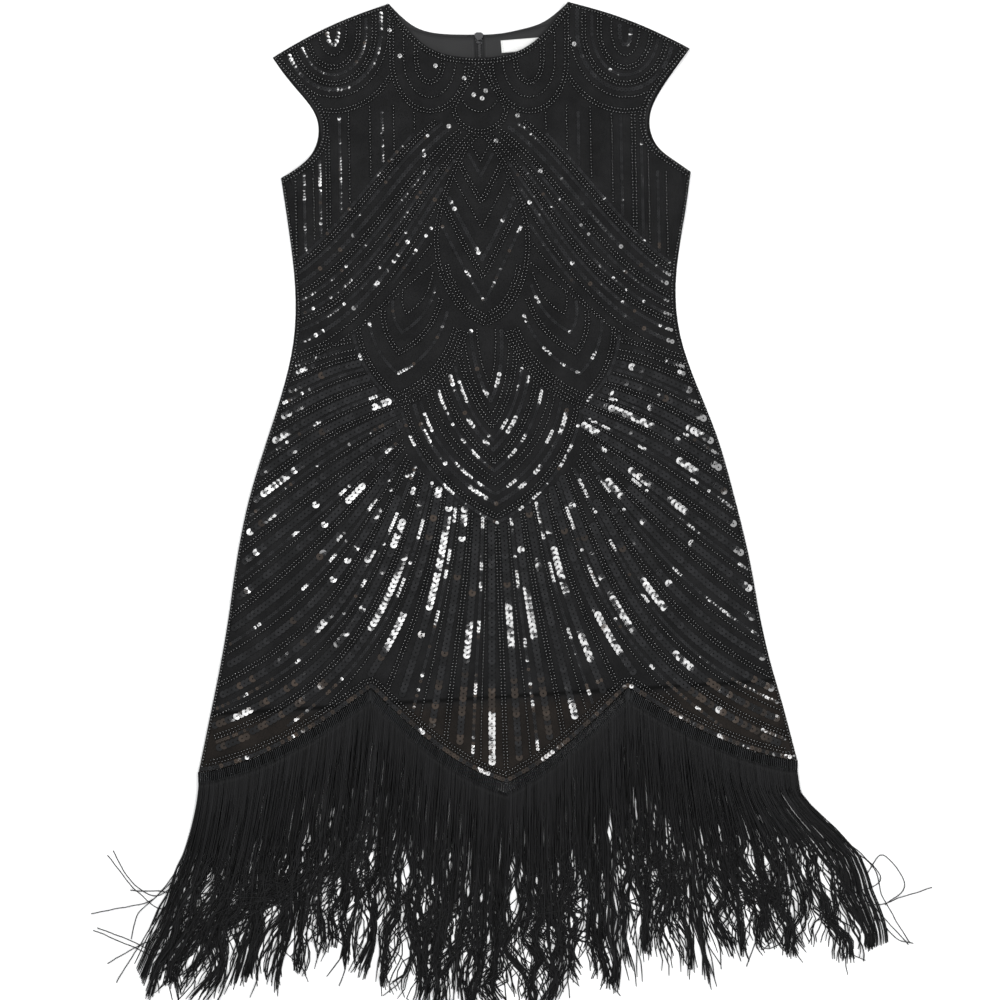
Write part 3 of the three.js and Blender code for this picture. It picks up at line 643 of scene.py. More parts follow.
class Surface:
    """Finds the cloth's upper, 1, or under, -1, face at a place seen from above."""

    def __init__(self, pieces, facing):
        self.trees = []
        for piece in pieces:
            places = [vertex.co.copy() for vertex in piece.data.vertices]
            faces = [tuple(face.vertices) for face in piece.data.polygons]
            self.trees.append(BVHTree.FromPolygons(places, faces))
        self.facing = facing

    def at(self, x, y):
        """(height, normal) of the cloth, or None beside it."""
        start = Vector((x, y, 0.05 * self.facing))
        for tree in self.trees:
            hit, normal, _, _ = tree.ray_cast(start, Vector((0, 0, -self.facing)))
            if hit is not None:
                return hit.z, normal
        return None

    def holds(self, x, y, margin):
        """Whether the cloth reaches this far round a place."""
        around = [(margin, 0), (-margin, 0), (0, margin), (0, -margin)]
        return all(self.at(x + dx, y + dy) is not None for dx, dy in around)


# Rows of beads and sequins


class Beadwork:
    """Collects the places of beads and sequins, and keeps them from running into each other."""

    CELL = 0.004

    def __init__(self, surface, blocked=()):
        self.surface = surface
        self.blocked = blocked
        self.taken = {}
        self.items = {"bead": [], "small": [], "big": [], "yoke": []}
        self.rows = 0

    def near(self, x, y, reach):
        cx, cy = int(x // self.CELL), int(y // self.CELL)
        span = int(reach // self.CELL) + 1
        for i in range(cx - span, cx + span + 1):
            for j in range(cy - span, cy + span + 1):
                for ox, oy, radius, row in self.taken.get((i, j), ()):
                    if row != self.rows and math.hypot(x - ox, y - oy) < reach + radius:
                        return True
        return False

    def lay(self, kind, line, over=(), margin=None, clearance=0.8, lit=0):
        """Lays one row along a line, except in the polygons of over and where something lies already."""
        size = {"bead": BEAD, "small": SMALL_SEQUIN, "big": BIG_SEQUIN, "yoke": YOKE_SEQUIN}[kind]
        self.rows += 1
        points = resampled(line, size["pitch"])
        ahead = np.gradient(points, axis=0)
        keep = np.ones(len(points), bool)
        for polygon in [*over, *self.blocked]:
            keep &= ~inside(points, polygon)
        margin = size["radius"] if margin is None else margin
        along = lengths(points)
        for index in np.flatnonzero(keep):
            x, y = points[index]
            if self.near(x, y, size["radius"] * clearance) or not self.surface.holds(x, y, margin):
                continue
            found = self.surface.at(x, y)
            if found is None:
                continue
            self.taken.setdefault((int(x // self.CELL), int(y // self.CELL)), []).append(
                (x, y, size["radius"] * clearance, self.rows)
            )
            angle = math.atan2(ahead[index][1], ahead[index][0])
            self.items[kind].append((x, y, found[0], *found[1], angle, along[index], self.rows, lit))

    def double(self, line, **options):
        self.lay("bead", beside(line, DOUBLE_ROW_GAP / 2), **options)
        self.lay("bead", beside(line, -DOUBLE_ROW_GAP / 2), **options)


def both_halves(work, kind, half_line, over=(), **options):
    """The same row on the left and on the right of the centre line; over holds half polygons."""
    for side in (-1, 1):
        polygons = [on_side(side, polygon) for polygon in over]
        line = on_side(side, half_line)
        if kind == "double":
            work.double(line, over=polygons, **options)
        else:
            work.lay(kind, line, over=polygons, **options)


# The layout of the beadwork, in half coordinates


def mirrored(half):
    """A whole line from its left half, which ends on the centre."""
    return [*half, *((-x, y) for x, y in half[-2::-1])]


# The nested scallops of the shoulders and the neck: the middle of their arcs, and each row's size
SHOULDER_SCALLOP = (0.158, 0.513)
SHOULDER_ROWS = table(
    "kind half depth",
    ("yoke", 0.006, 0.016),
    ("bead", 0.015, 0.027),
    ("double", 0.028, 0.04),
    ("small", 0.036, 0.048),
    ("double", 0.045, 0.057),
    ("yoke", 0.052, 0.064),
    ("bead", 0.06, 0.072),
    ("double", 0.075, 0.087),
)
NECK_SCALLOP = (0.0535, 0.481)
NECK_ROWS = table(
    "kind half depth",
    ("double", 0.0145, 0.024),
    ("bead", 0.028, 0.04),
    ("double", 0.041, 0.055),
)
# The drop at the centre of the neck: its arms, the U that closes it, the U below it, and a tuft inside
DROP_ARM = [(0.0025, 0.4745), (0.0115, 0.4575), (0.0200, 0.4450), (0.0285, 0.4290)]
DROP_BOTTOM = mirrored([(-0.0185, 0.4365), (-0.0120, 0.4290), (0.0, 0.4250)])
CHIN = mirrored([(-0.0280, 0.4250), (-0.0225, 0.4140), (-0.0120, 0.4065), (0.0, 0.4035)])
DROP_TUFT = [(0.0, 0.4640), (0.0, 0.4500)]
DROP_SEQUINS = [(-0.0064, 0.4433), (0.0066, 0.4477), (0.0026, 0.4395)]
# Single sequins that shine alone: distance to the right of the centre, and height
LONE_SEQUINS = [
    (-0.0473, 0.4747),
    (-0.0166, 0.4610),
    (-0.0855, 0.4855),
    (-0.0967, 0.5131),
    (0.1026, 0.4984),
    (0.0170, 0.3937),
    (-0.0610, 0.3783),
    (0.0643, 0.3610),
    (-0.0338, 0.4095),
    (0.0405, 0.4210),
]
# Upright rows on the chest, between the scallops and the first swag
CHEST_LINES = table(
    "kind from_centre top",
    ("bead", 0.071, 0.424),
    ("bead", 0.0935, 0.432),
    ("small", 0.106, 0.424),
    ("bead", 0.119, 0.43),
    ("bead", 0.142, 0.426),
    ("small", 0.152, 0.424),
    ("bead", 0.1635, 0.425),
    ("bead", 0.1672, 0.425),
    ("small", 0.174, 0.41),
    ("bead", 0.181, 0.4),
    ("small", 0.191, 0.36),
    ("bead", 0.2, 0.36),
)

# The swags: cubic curves from the centre out to the side seams
SWAGS = table(
    "start leave arrive end",
    ((0.048, 0.414), (0.098, 0.378), (0.15, 0.285), (0.212, 0.25)),
    ((0.022, 0.404), (0.082, 0.362), (0.132, 0.256), (0.212, 0.222)),
    ((0.008, 0.402), (0.058, 0.362), (0.108, 0.224), (0.212, 0.195)),
    ((0.034, 0.345), (0.064, 0.305), (0.116, 0.188), (0.212, 0.162)),
    ((0.048, 0.29), (0.08, 0.255), (0.126, 0.178), (0.214, 0.152)),
)
SWAG_FILLS = table(
    "between rows",
    ((0, 1), [("small", 0.24), ("yoke", 0.62)]),
    ((1, 2), [("small", 0.25), ("bead", 0.5), ("small", 0.76)]),
    ((2, 3), [("small", 0.28), ("yoke", 0.66)]),
    ((3, 4), [("small", 0.5)]),
)
# How far apart two lines lie where each kind of row starts between them
SWAG_NEEDS = {"bead": 0.0115, "small": 0.0115, "yoke": 0.0135}

# The centre leaf: half its outline, from its top to its bottom tip
LEAF = [
    (0.0, 0.402),
    (0.012, 0.3915),
    (0.024, 0.371),
    (0.036, 0.344),
    (0.0445, 0.319),
    (0.049, 0.295),
    (0.0487, 0.274),
    (0.046, 0.256),
    (0.040, 0.238),
    (0.031, 0.2205),
    (0.0185, 0.2065),
    (0.0, 0.196),
]
LEAF_CHEVRONS = table(
    "kind tip",
    ("bead", 0.372),
    ("small", 0.356),
    ("double", 0.328),
    ("bead", 0.3),
    ("yoke", 0.266),
    ("double", 0.247),
    ("small", 0.22),
)
CHEVRON_SLOPE = 1.75

# The side petals: where each nested row starts on the upper edge, its tip, and its end at the leaf
PETAL_ROOT = (0.050, 0.264)
PETAL_ROWS = table(
    "kind outer tip inner",
    ("bead", (0.088, 0.23), (0.085, 0.207), (0.054, 0.251)),
    ("small", (0.099, 0.2195), (0.091, 0.187), (0.052, 0.237)),
    ("double", (0.11, 0.2095), (0.0955, 0.165), (0.047, 0.223)),
    ("small", (0.1255, 0.199), (0.0985, 0.1425), (0.041, 0.208)),
    ("double", (0.138, 0.19), (0.101, 0.1185), (0.033, 0.191)),
)

# The nested curves of the large centre scale, from inside to outline: slope is at the tip, in degrees
SCALE_ROWS = table(
    "kind tip slope half top",
    ("bead", 0.1305, 65, 0.01, 0.19),
    ("yoke", 0.1135, 56, 0.0165, 0.188),
    ("bead", 0.0985, 52, 0.024, 0.188),
    ("double", 0.086, 49, 0.0315, 0.188),
    ("small", 0.0707, 46, 0.0385, 0.18),
    ("yoke", 0.0605, 42, 0.045, 0.172),
    ("double", 0.0473, 40, 0.053, 0.165),
    ("small", 0.0375, 36, 0.059, 0.155),
    ("bead", 0.0295, 33, 0.066, 0.148),
    ("bead", 0.0225, 31, 0.071, 0.142),
    ("small", 0.0123, 29, 0.078, 0.136),
    ("yoke", 0.002, 27, 0.085, 0.132),
    ("double", -0.0115, 25, 0.0935, 0.128),
    ("small", -0.0185, 25, 0.0985, 0.124),
)

# The rays: double lines from the centre motifs to the hem and the sides, with their slopes in degrees
RAY_LINES = table(
    "start end leave arrive",
    ((0.0, -0.02), (0.0, -0.3), 90, 90),
    ((0.028, -0.009), (0.066, -0.268), 84, 83),
    ((0.056, 0.012), (0.136, -0.222), 79, 66),
    ((0.078, 0.034), (0.313, -0.25), 72, 20),
    ((0.0915, 0.048), (0.312, -0.196), 62, 26),
    ((0.0965, 0.064), (0.292, -0.121), 48, 37),
    ((0.099, 0.08), (0.279, -0.05), 34, 37),
    ((0.102, 0.108), (0.2635, 0.0155), 20, 36),
    ((0.119, 0.133), (0.243, 0.076), 16, 30),
    ((0.134, 0.162), (0.218, 0.134), 8, 21),
    ((0.14, 0.179), (0.2145, 0.16), 9, 15),
)
# Rows below the fourth ray line in the hem's corners: how far below it, and where they start
CORNER_ROWS = [("small", 0.0056, 0.150), ("big", 0.0122, 0.172)]
RAY_FILLS = [("big", 0.23), ("bead", 0.42), ("small", 0.55), ("big", 0.77)]
RAY_NEEDS = {"bead": 0.0100, "small": 0.0130, "yoke": 0.0150, "big": 0.0225}


# Rows along the front's edges: kinds, distances from the edge, and how much cloth they need round them
ALONG_OPENING = ([("bead", 0.0022), ("bead", 0.0058)], 0.0006)
ALONG_SHOULDER = ([("bead", 0.0035)], 0.0004)
ALONG_HEM = ([("yoke", 0.0028), ("bead", 0.0074), ("bead", 0.0110)], 0.0006)
ALONG_SIDE = ([("bead", 0.0026)], 0.0004)
EDGE_ROWS = table(
    "start end rows",
    ("neck_left", "neck_right", ALONG_OPENING),
    ("cap_left", "underarm_left", ALONG_OPENING),
    ("cap_right", "underarm_right", ALONG_OPENING),
    ("neck_left", "cap_left", ALONG_SHOULDER),
    ("neck_right", "cap_right", ALONG_SHOULDER),
    ("hem_left", "hem_right", ALONG_HEM),
    ("underarm_left", "hem_left", ALONG_SIDE),
    ("underarm_right", "hem_right", ALONG_SIDE),
)
# Rows round each half of the back
BACK_EDGE_DISTANCES = (0.0024, 0.0060)
EDGE_PITCH = 0.002


def scallop(centre, half, depth, top_rise=0.06):
    """A U that hangs from the edge above it."""
    turn = np.linspace(math.pi, 2 * math.pi, 60)
    low = np.column_stack([centre[0] + half * np.cos(turn), centre[1] + depth * np.sin(turn)])
    top = centre[1] + top_rise
    return np.vstack([[centre[0] - half, top], low, [centre[0] + half, top]])


def petal_row(row):
    """One nested V of a side petal, from the upper edge round its tip to the leaf."""
    outer = bowed(row["outer"], row["tip"], 0.10)
    inner = bowed(row["tip"], row["inner"], 0.11)
    return outer, inner


def scale_half(row):
    """Half of one nested curve of the centre scale, from the centre to its upper end."""
    rise = 0.5 * row["half"] * math.tan(math.radians(row["slope"]))
    leave = (0.5 * row["half"], row["tip"] + rise)
    arrive = (row["half"], row["top"] - 0.45 * (row["top"] - row["tip"]))
    return bezier((0.0, row["tip"]), leave, arrive, (row["half"], row["top"]))


def ray(row):
    """One ray line's curve."""
    start, end = np.array(row["start"]), np.array(row["end"])
    reach = 0.42 * np.linalg.norm(end - start)
    leave, arrive = math.radians(row["leave"]), math.radians(row["arrive"])
    first = start + reach * np.array([math.cos(leave), -math.sin(leave)])
    second = end - reach * np.array([math.cos(arrive), -math.sin(arrive)])
    return bezier(start, first, second, end, count=160)


def mirrored_polygon(half):
    """A half outline and its mirror image as one polygon in half coordinates."""
    return np.vstack([half, (half * [-1, 1])[::-1]])


def motif_polygons():
    """The outlines that hide what lies below them, in half coordinates."""
    outer, inner = petal_row(PETAL_ROWS[-1])
    drop_half = [(0.0, 0.483), (0.005, 0.4745), *(np.array(DROP_ARM[1:]) + [0.0022, 0]), *CHIN[:3:-1]]
    scale_outline = np.vstack([scale_half(SCALE_ROWS[-1]), [[0.098, 0.150], [0.0, 0.190]]])
    return {
        "leaf": mirrored_polygon(through(LEAF)),
        "petal": np.vstack([outer, inner, [PETAL_ROOT]]),
        "scale": mirrored_polygon(scale_outline),
        "neck": scallop(NECK_SCALLOP, 0.0425, 0.0565, 0.08),
        "drop": mirrored_polygon(np.array([*drop_half, (0.0, 0.4010)])),
        "shoulder": scallop(SHOULDER_SCALLOP, 0.077, 0.089, 0.05),
    }


def lay_yoke(work, shapes):
    both_halves(work, "double", through(DROP_ARM))
    work.lay("bead", on_side(1, through(DROP_BOTTOM)))
    work.double(on_side(1, through(CHIN)))
    work.lay("bead", on_side(1, DROP_TUFT))
    for x, y in [*DROP_SEQUINS, *LONE_SEQUINS]:
        work.lay("yoke", on_side(1, [(x, y)]).repeat(2, axis=0), clearance=0.3, lit=1)
    for row in NECK_ROWS:
        line = scallop(NECK_SCALLOP, row["half"], row["depth"])
        both_halves(work, row["kind"], line, over=[shapes["drop"]])
    for row in SHOULDER_ROWS:
        line = scallop(SHOULDER_SCALLOP, row["half"], row["depth"])
        both_halves(work, row["kind"], line, over=[shapes["neck"]])


def lay_leaf_and_petals(work, shapes):
    leaf_line = through(LEAF)
    both_halves(work, "double", leaf_line[3:-1])
    for row in LEAF_CHEVRONS:
        arm = np.linspace(0, 0.05, 40)
        line = np.column_stack([arm, row["tip"] + CHEVRON_SLOPE * arm + 4.0 * arm**2])
        line = line[inside(line + [1e-5, 0], shapes["leaf"] * [0.9, 1])]
        if len(line) > 3:
            both_halves(work, row["kind"], line)
    # The loose beads that fill the corner below each petal and the leaf
    _, lower = petal_row(PETAL_ROWS[-1])
    for distance in (0.0062, 0.0098, 0.0132):
        line = wandering(beside(lower, distance), 0.0007, int(distance * 1e5))
        both_halves(work, "bead", line, over=[shapes["leaf"]])
    for distance in (0.0058, 0.0092):
        line = wandering(beside(leaf_line[-50:], -distance), 0.0007, 7)
        both_halves(work, "bead", line, over=[shapes["petal"]])
    for row in reversed(PETAL_ROWS):
        outer, inner = petal_row(row)
        both_halves(work, row["kind"], np.vstack([outer, inner[1:]]), over=[shapes["leaf"]])
    both_halves(work, "bead", [PETAL_ROOT, PETAL_ROWS[-1]["outer"]], over=[shapes["leaf"]])
    outer, _ = petal_row(PETAL_ROWS[-1])
    both_halves(work, "small", beside(outer, 0.0062)[3:])


def wandering(line, amount, seed, run=0.003):
    """A line that strays a little to either side; run says how fast."""
    return beside(line, 0) + normals_of(line) * (amount * wave(lengths(line) / run, seed))[:, None]


def lay_band(work, upper, lower, rows, needs, over):
    """Rows between two lines, each only where the lines lie far enough apart for it."""
    for kind, share in rows:
        line = upper + (lower - upper) * share
        apart = np.abs(np.sum((lower - upper) * normals_of(line), axis=1))
        wide = np.flatnonzero(apart >= needs[kind])
        if len(wide) < 4:
            continue
        first = wide[0]
        both_halves(work, kind, line[first : wide[-1] + 1], over=over)
        if kind == "big" and first > 4:
            narrow = np.flatnonzero(apart[:first] >= needs["yoke"])
            if len(narrow) > 4:
                both_halves(work, "yoke", line[narrow[0] : first - 2], over=over)


def lay_bodice(work, shapes):
    swags = [bezier(swag["start"], swag["leave"], swag["arrive"], swag["end"]) for swag in SWAGS]
    yoke = [shapes["shoulder"], shapes["neck"], shapes["drop"]]
    lay_leaf_and_petals(work, shapes)
    over = yoke + [shapes["leaf"], shapes["petal"]]
    for index, line in enumerate(swags):
        kind = "double" if index < 3 else "bead"
        both_halves(work, kind, line, over=over if index > 2 else yoke)
    both_halves(work, "small", beside(swags[0], 0.0056)[8:], over=yoke)
    for fill in SWAG_FILLS:
        a, b = (swags[index] for index in fill["between"])
        lay_band(work, a, b, fill["rows"], SWAG_NEEDS, over)
    edge = np.vstack([swags[0] + [0.006, 0.006], [[0.25, 0.2], [0.0, 0.2], [0.0, 0.414]]])
    for row in CHEST_LINES:
        line = [(row["from_centre"], row["top"]), (row["from_centre"], 0.25)]
        both_halves(work, row["kind"], line, over=[edge, shapes["shoulder"], shapes["neck"]])


def lay_scale(work, shapes):
    for row in reversed(SCALE_ROWS):
        both_halves(work, row["kind"], scale_half(row), over=[shapes["leaf"], shapes["petal"]])


def lay_rays(work, shapes):
    over = [shapes["scale"], shapes["petal"]]
    lines = [ray(row) for row in RAY_LINES]
    work.double(on_side(1, lines[0]), over=[shapes["scale"]])
    for line in lines[1:]:
        both_halves(work, "double", line, over=over)
    for upper, lower in zip(lines[:-1], lines[1:]):
        lay_band(work, upper, lower, RAY_FILLS, RAY_NEEDS, over)
    for kind, below, start in CORNER_ROWS:
        line = beside(lines[3], -below)
        both_halves(work, kind, line[line[:, 0] > start])


def clear_of(line, edge, distance):
    """The points of a line that keep their distance from an edge."""
    away = np.min(np.linalg.norm(line[:, None, :] - edge[None, :, :], axis=2), axis=1)
    return line[away > distance * 0.93]


def lay_edges(work, loop):
    """The rows that follow the front's own edge."""
    for row in EDGE_ROWS:
        edge = resampled(part_of_rim(loop, CORNERS[row["start"]], CORNERS[row["end"]]), EDGE_PITCH)
        kinds, margin = row["rows"]
        for kind, distance in kinds:
            left, right = beside(edge, distance), beside(edge, -distance)
            line = left if work.surface.at(*left[len(edge) // 2]) is not None else right
            if row["rows"] is ALONG_HEM:
                line = clear_of(line, loop, distance)
            work.lay(kind, line, margin=margin)


def lay_motifs(work):
    """The ornament of one side of the dress."""
    shapes = motif_polygons()
    for lay in (lay_yoke, lay_bodice, lay_scale, lay_rays):
        lay(work, shapes)


# Joined meshes of beads and sequins


def bead_shape(segments=5):
    """A short barrel along X: unit radius, closed by pointed ends."""
    shoulder, tip = 0.38, 0.78
    turn = np.linspace(0, 2 * math.pi, segments, endpoint=False)
    vertices = [(x, math.cos(a), math.sin(a)) for x in (-shoulder, shoulder) for a in turn]
    vertices += [(-tip, 0, 0), (tip, 0, 0)]
    faces = []
    for i in range(segments):
        j = (i + 1) % segments
        faces += [(i, i + segments, j + segments), (i, j + segments, j)]
        faces += [(2 * segments, i, j), (2 * segments + 1, j + segments, i + segments)]
    return np.array(vertices), np.array(faces)


def sequin_shape(segments=10, hole=0.22, cup=0.03):
    """A thin ring, a little cupped, of unit radius."""
    turn = np.linspace(0, 2 * math.pi, segments, endpoint=False)
    vertices = [(math.cos(a), math.sin(a), cup) for a in turn]
    vertices += [(hole * math.cos(a), hole * math.sin(a), 0.0) for a in turn]
    faces = []
    for i in range(segments):
        j = (i + 1) % segments
        faces.append((i, j, segments + j))
        faces.append((i, segments + j, segments + i))
    return np.array(vertices), np.array(faces)


def frames_for(items, facing):
    """Axes for each item: along its row, across it, and out of the cloth."""
    data = np.array(items, float)
    out = unit(data[:, 3:6])
    out *= np.sign(out[:, 2:3]) * facing
    along = np.column_stack([np.cos(data[:, 6]), np.sin(data[:, 6]), np.zeros(len(data))])
    along = unit(along - out * np.sum(along * out, axis=1, keepdims=True))
    return data, along, np.cross(out, along), out


def tilted(along, across, out, pitch_angle, roll_angle):
    """Turns each item's axes by an angle about its across axis, then about its along axis."""
    c, s = np.cos(pitch_angle)[:, None], np.sin(pitch_angle)[:, None]
    along, out = along * c + out * s, out * c - along * s
    c, s = np.cos(roll_angle)[:, None], np.sin(roll_angle)[:, None]
    across, out = across * c + out * s, out * c - across * s
    return along, across, out


def joined_copies(name, shape, places, axes, sizes, materials, material_index=None, smooth_shading=True):
    """One mesh holding a copy of shape at each place."""
    vertices, faces = shape
    along, across, out = axes
    count = len(places)
    scaled = vertices[None, :, :] * sizes[:, None, :]
    turned = (
        scaled[:, :, 0:1] * along[:, None, :]
        + scaled[:, :, 1:2] * across[:, None, :]
        + scaled[:, :, 2:3] * out[:, None, :]
    )
    points = (places[:, None, :] + turned).reshape(-1, 3)
    index = (faces[None, :, :] + (np.arange(count) * len(vertices))[:, None, None]).reshape(-1, 3)
    which = None if material_index is None else np.repeat(material_index, len(faces))
    return new_object(name, points, index, materials, which, smooth_shading)


def plain_bead_shape():
    """A bead of eight faces, for the rows that lie under the dress."""
    vertices = [(1, 0, 0), (-1, 0, 0), (0, 1, 0), (0, -1, 0), (0, 0, 1), (0, 0, -1)]
    faces = [(0, 2, 4), (2, 1, 4), (1, 3, 4), (3, 0, 4), (2, 0, 5), (1, 2, 5), (3, 1, 5), (0, 3, 5)]
    return np.array(vertices, float), np.array(faces)


# How a bead lies: uneven size, length, how far it stands proud, how far it strays aside, and its tilt
BEAD_LAY = {"uneven": 0.05, "long": 1.05, "proud": 0.86, "aside": 0.00012, "tilt": 0.10}
FLAT_BEAD_LIFT = 0.0001


def bead_mesh(name, items, facing, materials, height=None):
    """Beads as one mesh; those under the dress have a stated height."""
    data, along, across, out = frames_for(items, facing)
    jitter = np.random.default_rng(len(items)).normal(0, 1, (len(items), 3))
    radius = BEAD["radius"] * (1 + BEAD_LAY["uneven"] * jitter[:, 0])
    tall = radius if height is None else np.full(len(items), height / 2)
    sizes = np.column_stack([radius * BEAD_LAY["long"], radius, tall])
    lift = BEAD_LAY["proud"] * tall if height is None else np.full(len(items), FLAT_BEAD_LIFT)
    places = data[:, 0:3] + out * lift[:, None] + across * (BEAD_LAY["aside"] * jitter[:, 1])[:, None]
    axes = tilted(along, across, out, BEAD_LAY["tilt"] * jitter[:, 2], BEAD_LAY["tilt"] * jitter[:, 1])
    shape = bead_shape() if height is None else plain_bead_shape()
    return joined_copies(name, shape, places, axes, sizes, [materials["bead"]])


# Where more of the sequins catch the light, as on the photographed dress: side 0 is both halves
GLOWS = table(
    "side from_centre y reach share",
    (0, 0.07, -0.045, (0.06, 0.095), 0.38),
    (1, 0.125, 0.07, (0.055, 0.045), 0.18),
    (1, 0.19, -0.07, (0.045, 0.05), 0.13),
    (-1, 0.215, -0.08, (0.05, 0.045), 0.13),
    (0, 0.02, -0.245, (0.05, 0.035), 0.24),
    (0, 0.04, 0.11, (0.06, 0.08), 0.22),
    (0, 0.02, 0.275, (0.03, 0.06), 0.09),
    (0, 0.26, -0.215, (0.09, 0.045), -0.03),
)
# The kinds of sequin, with how many degrees each leans on the one before it
SEQUIN_KINDS = [("small", SMALL_SEQUIN, 2.0), ("big", BIG_SEQUIN, 4.0), ("yoke", YOKE_SEQUIN, 2.0)]
# The few that sit badly, and how many degrees they stray, for big ones and for the rest
ASTRAY = {"share": 0.07, "big": 6.0, "other": 13.0}
# How long the streaks of each kind run
STREAKS = {"small": 0.010, "yoke": 0.012, "big": 0.042}
# Degrees that sequins lie askew: along with their neighbours, alone, and when they mirror a panel
ASKEW = {"shared": 2.8, "own": 1.3, "mirroring": 1.5}
ASKEW_RUNS = (0.030, 0.024)
# The share that catches the light on the skirt, how much less it is on the bodice, and where it changes
LIT = {"skirt": 0.060, "less": 0.044, "from": 0.12, "to": 0.30}
# The share that shines alone, and how much more it is on the lower bodice
LONE = {"share": 0.010, "more": 0.008, "from": 0.16, "to": 0.40}
# The spread of wave(), and how much steeper a logistic curve is than a normal one
WAVE_SPREAD, LOGISTIC = 0.45, 1.702
# The share of browner sequins, and where they begin
WARM = {"low": 0.42, "high": 0.02, "below": LINING_HEM_Y + 0.02}


def light_share(x, y):
    """The share of the sequins at a place that catch the light."""
    right = x - centre_x(y)
    share = LIT["skirt"] - LIT["less"] * smooth(y, LIT["from"], LIT["to"])
    for glow in GLOWS:
        matches = (right * glow["side"] >= 0) if glow["side"] else np.ones(len(x), bool)
        aside = ((np.abs(right) - glow["from_centre"]) / glow["reach"][0]) ** 2
        away = aside + ((y - glow["y"]) / glow["reach"][1]) ** 2
        share = share + matches * glow["share"] * np.exp(-away)
    return np.clip(share, 0.01, 0.8)


def mirrors_panel(places):
    """The way that a sequin faces where it mirrors a light panel into the view from above."""
    panels = np.array([PANELS["overhead_left"][0], PANELS["overhead_right"][0]])
    light = panels[(places[:, 0] > -0.03).astype(int)] - places
    eye = np.array([*VIEW_CENTRE, CAMERA_HEIGHT]) - places
    return unit(unit(light) + unit(eye))


def sequin_axes(kind, items, facing, lean, tilt):
    """Axes of a kind's sequins: most rest a little askew, and runs of neighbours turn to the light."""
    data, along, across, out = frames_for(items, facing)
    seeded = np.random.default_rng(7 + len(items))
    jitter = seeded.normal(0, 1, (len(items), 4))
    gate = np.zeros(len(items))
    askew = np.zeros((len(items), 2))
    for row in np.unique(data[:, 8].astype(int)):
        chosen = data[:, 8].astype(int) == row
        gate[chosen] = wave(data[chosen, 7] / STREAKS[kind], 10 + int(row)) / WAVE_SPREAD
        for way, seed in ((0, 400), (1, 900)):
            askew[chosen, way] = wave(data[chosen, 7] / ASKEW_RUNS[way], seed + int(row))
    shared, own = ASKEW["shared"], ASKEW["own"]
    pitch_angle = np.radians(tilt * (lean + shared * askew[:, 0] + own * jitter[:, 0]))
    roll_angle = np.radians(tilt * (shared * askew[:, 1] + own * jitter[:, 1]))
    astray = seeded.uniform(0, 1, len(items)) < ASTRAY["share"]
    most = ASTRAY["big" if kind == "big" else "other"]
    swing = np.radians(tilt * most) * seeded.normal(0, 1, (len(items), 2))
    pitch_angle = pitch_angle + astray * swing[:, 0]
    roll_angle = roll_angle + astray * swing[:, 1]
    along, across, out = tilted(along, across, out, pitch_angle, roll_angle)
    if facing < 0:
        return data, (along, across, out)
    y, alone = data[:, 1], data[:, 9] > 0
    share = light_share(data[:, 0], y)
    threshold = np.log((1 - share) / share) / LOGISTIC
    lit = np.clip((gate - threshold) / 0.3 + 0.5, 0, 1)
    low_bodice = (y > LONE["from"]) * (y < LONE["to"])
    lone = seeded.uniform(0, 1, len(items)) < LONE["share"] + LONE["more"] * low_bodice
    lit = np.where(lone | alone, 1.0, lit)
    to_light = mirrors_panel(data[:, 0:3])
    wander = ASKEW["mirroring"] * askew + ASKEW["mirroring"] * jitter[:, 2:4]
    wander = wander * (1 + 0.7 * smooth(y, 0.12, 0.22))[:, None]
    wander[alone] = 0
    to_light[:, 0:2] += np.radians(wander)
    out = unit(out * (1 - lit)[:, None] + to_light * lit[:, None])
    along = unit(along - out * np.sum(along * out, axis=1, keepdims=True))
    return data, (along, np.cross(out, along), out)


def sequin_mesh(name, groups, facing, materials, shape=None, lift=1.0, tilt=1.0):
    """Sequins of several kinds as one mesh."""
    parts = []
    for kind, size, lean in SEQUIN_KINDS:
        items = groups[kind]
        if not items:
            continue
        data, axes = sequin_axes(kind, items, facing, lean, tilt)
        radius = np.full(len(items), size["radius"])
        places = data[:, 0:3] + frames_for(items, facing)[3] * (lift * (0.00035 + 0.10 * radius))[:, None]
        warm_share = np.where(data[:, 1] < WARM["below"], WARM["low"], WARM["high"])
        warm = np.random.default_rng(77 + len(items)).uniform(0, 1, len(items)) < warm_share
        sizes = np.column_stack([radius, radius, radius])
        parts.append((places, axes, sizes, warm.astype(int)))
    places = np.vstack([part[0] for part in parts])
    axes = tuple(np.vstack([part[1][axis] for part in parts]) for axis in range(3))
    sizes = np.vstack([part[2] for part in parts])
    warm = np.concatenate([part[3] for part in parts])
    both = [materials["sequin"], materials["sequin_brown"]]
    return joined_copies(name, shape or sequin_shape(), places, axes, sizes, both, warm, smooth_shading=False)


# The bands of height that share a mesh
BANDS = [("bodice", 0.16, 1.0), ("middle", -0.02, 0.16), ("skirt", -1.0, -0.02)]


def joined_bands(side, work, materials, facing, bead_height=None, **sequins):
    """The beads and sequins of one side as joined meshes, one of each for each band of height."""
    pieces = []
    for name, low, high in BANDS:
        groups = {}
        for kind, items in work.items.items():
            groups[kind] = [item for item in items if low <= item[1] < high]
        beads = bead_mesh(f"{side}_{name}_beads", groups["bead"], facing, materials, bead_height)
        discs = sequin_mesh(f"{side}_{name}_sequins", groups, facing, materials, **sequins)
        pieces += [beads, discs]
    return pieces


def make_front_beadwork(front, materials):
    work = Beadwork(Surface([front], 1))
    lay_edges(work, rim_loop(front))
    lay_motifs(work)
    return joined_bands("front", work, materials, 1)


def back_strip():
    """The cloth round the zip, which stays free of beads, in half coordinates."""
    return np.array([(-0.012, 0.004), (0.012, 0.004), (0.012, 0.53), (-0.012, 0.53)])


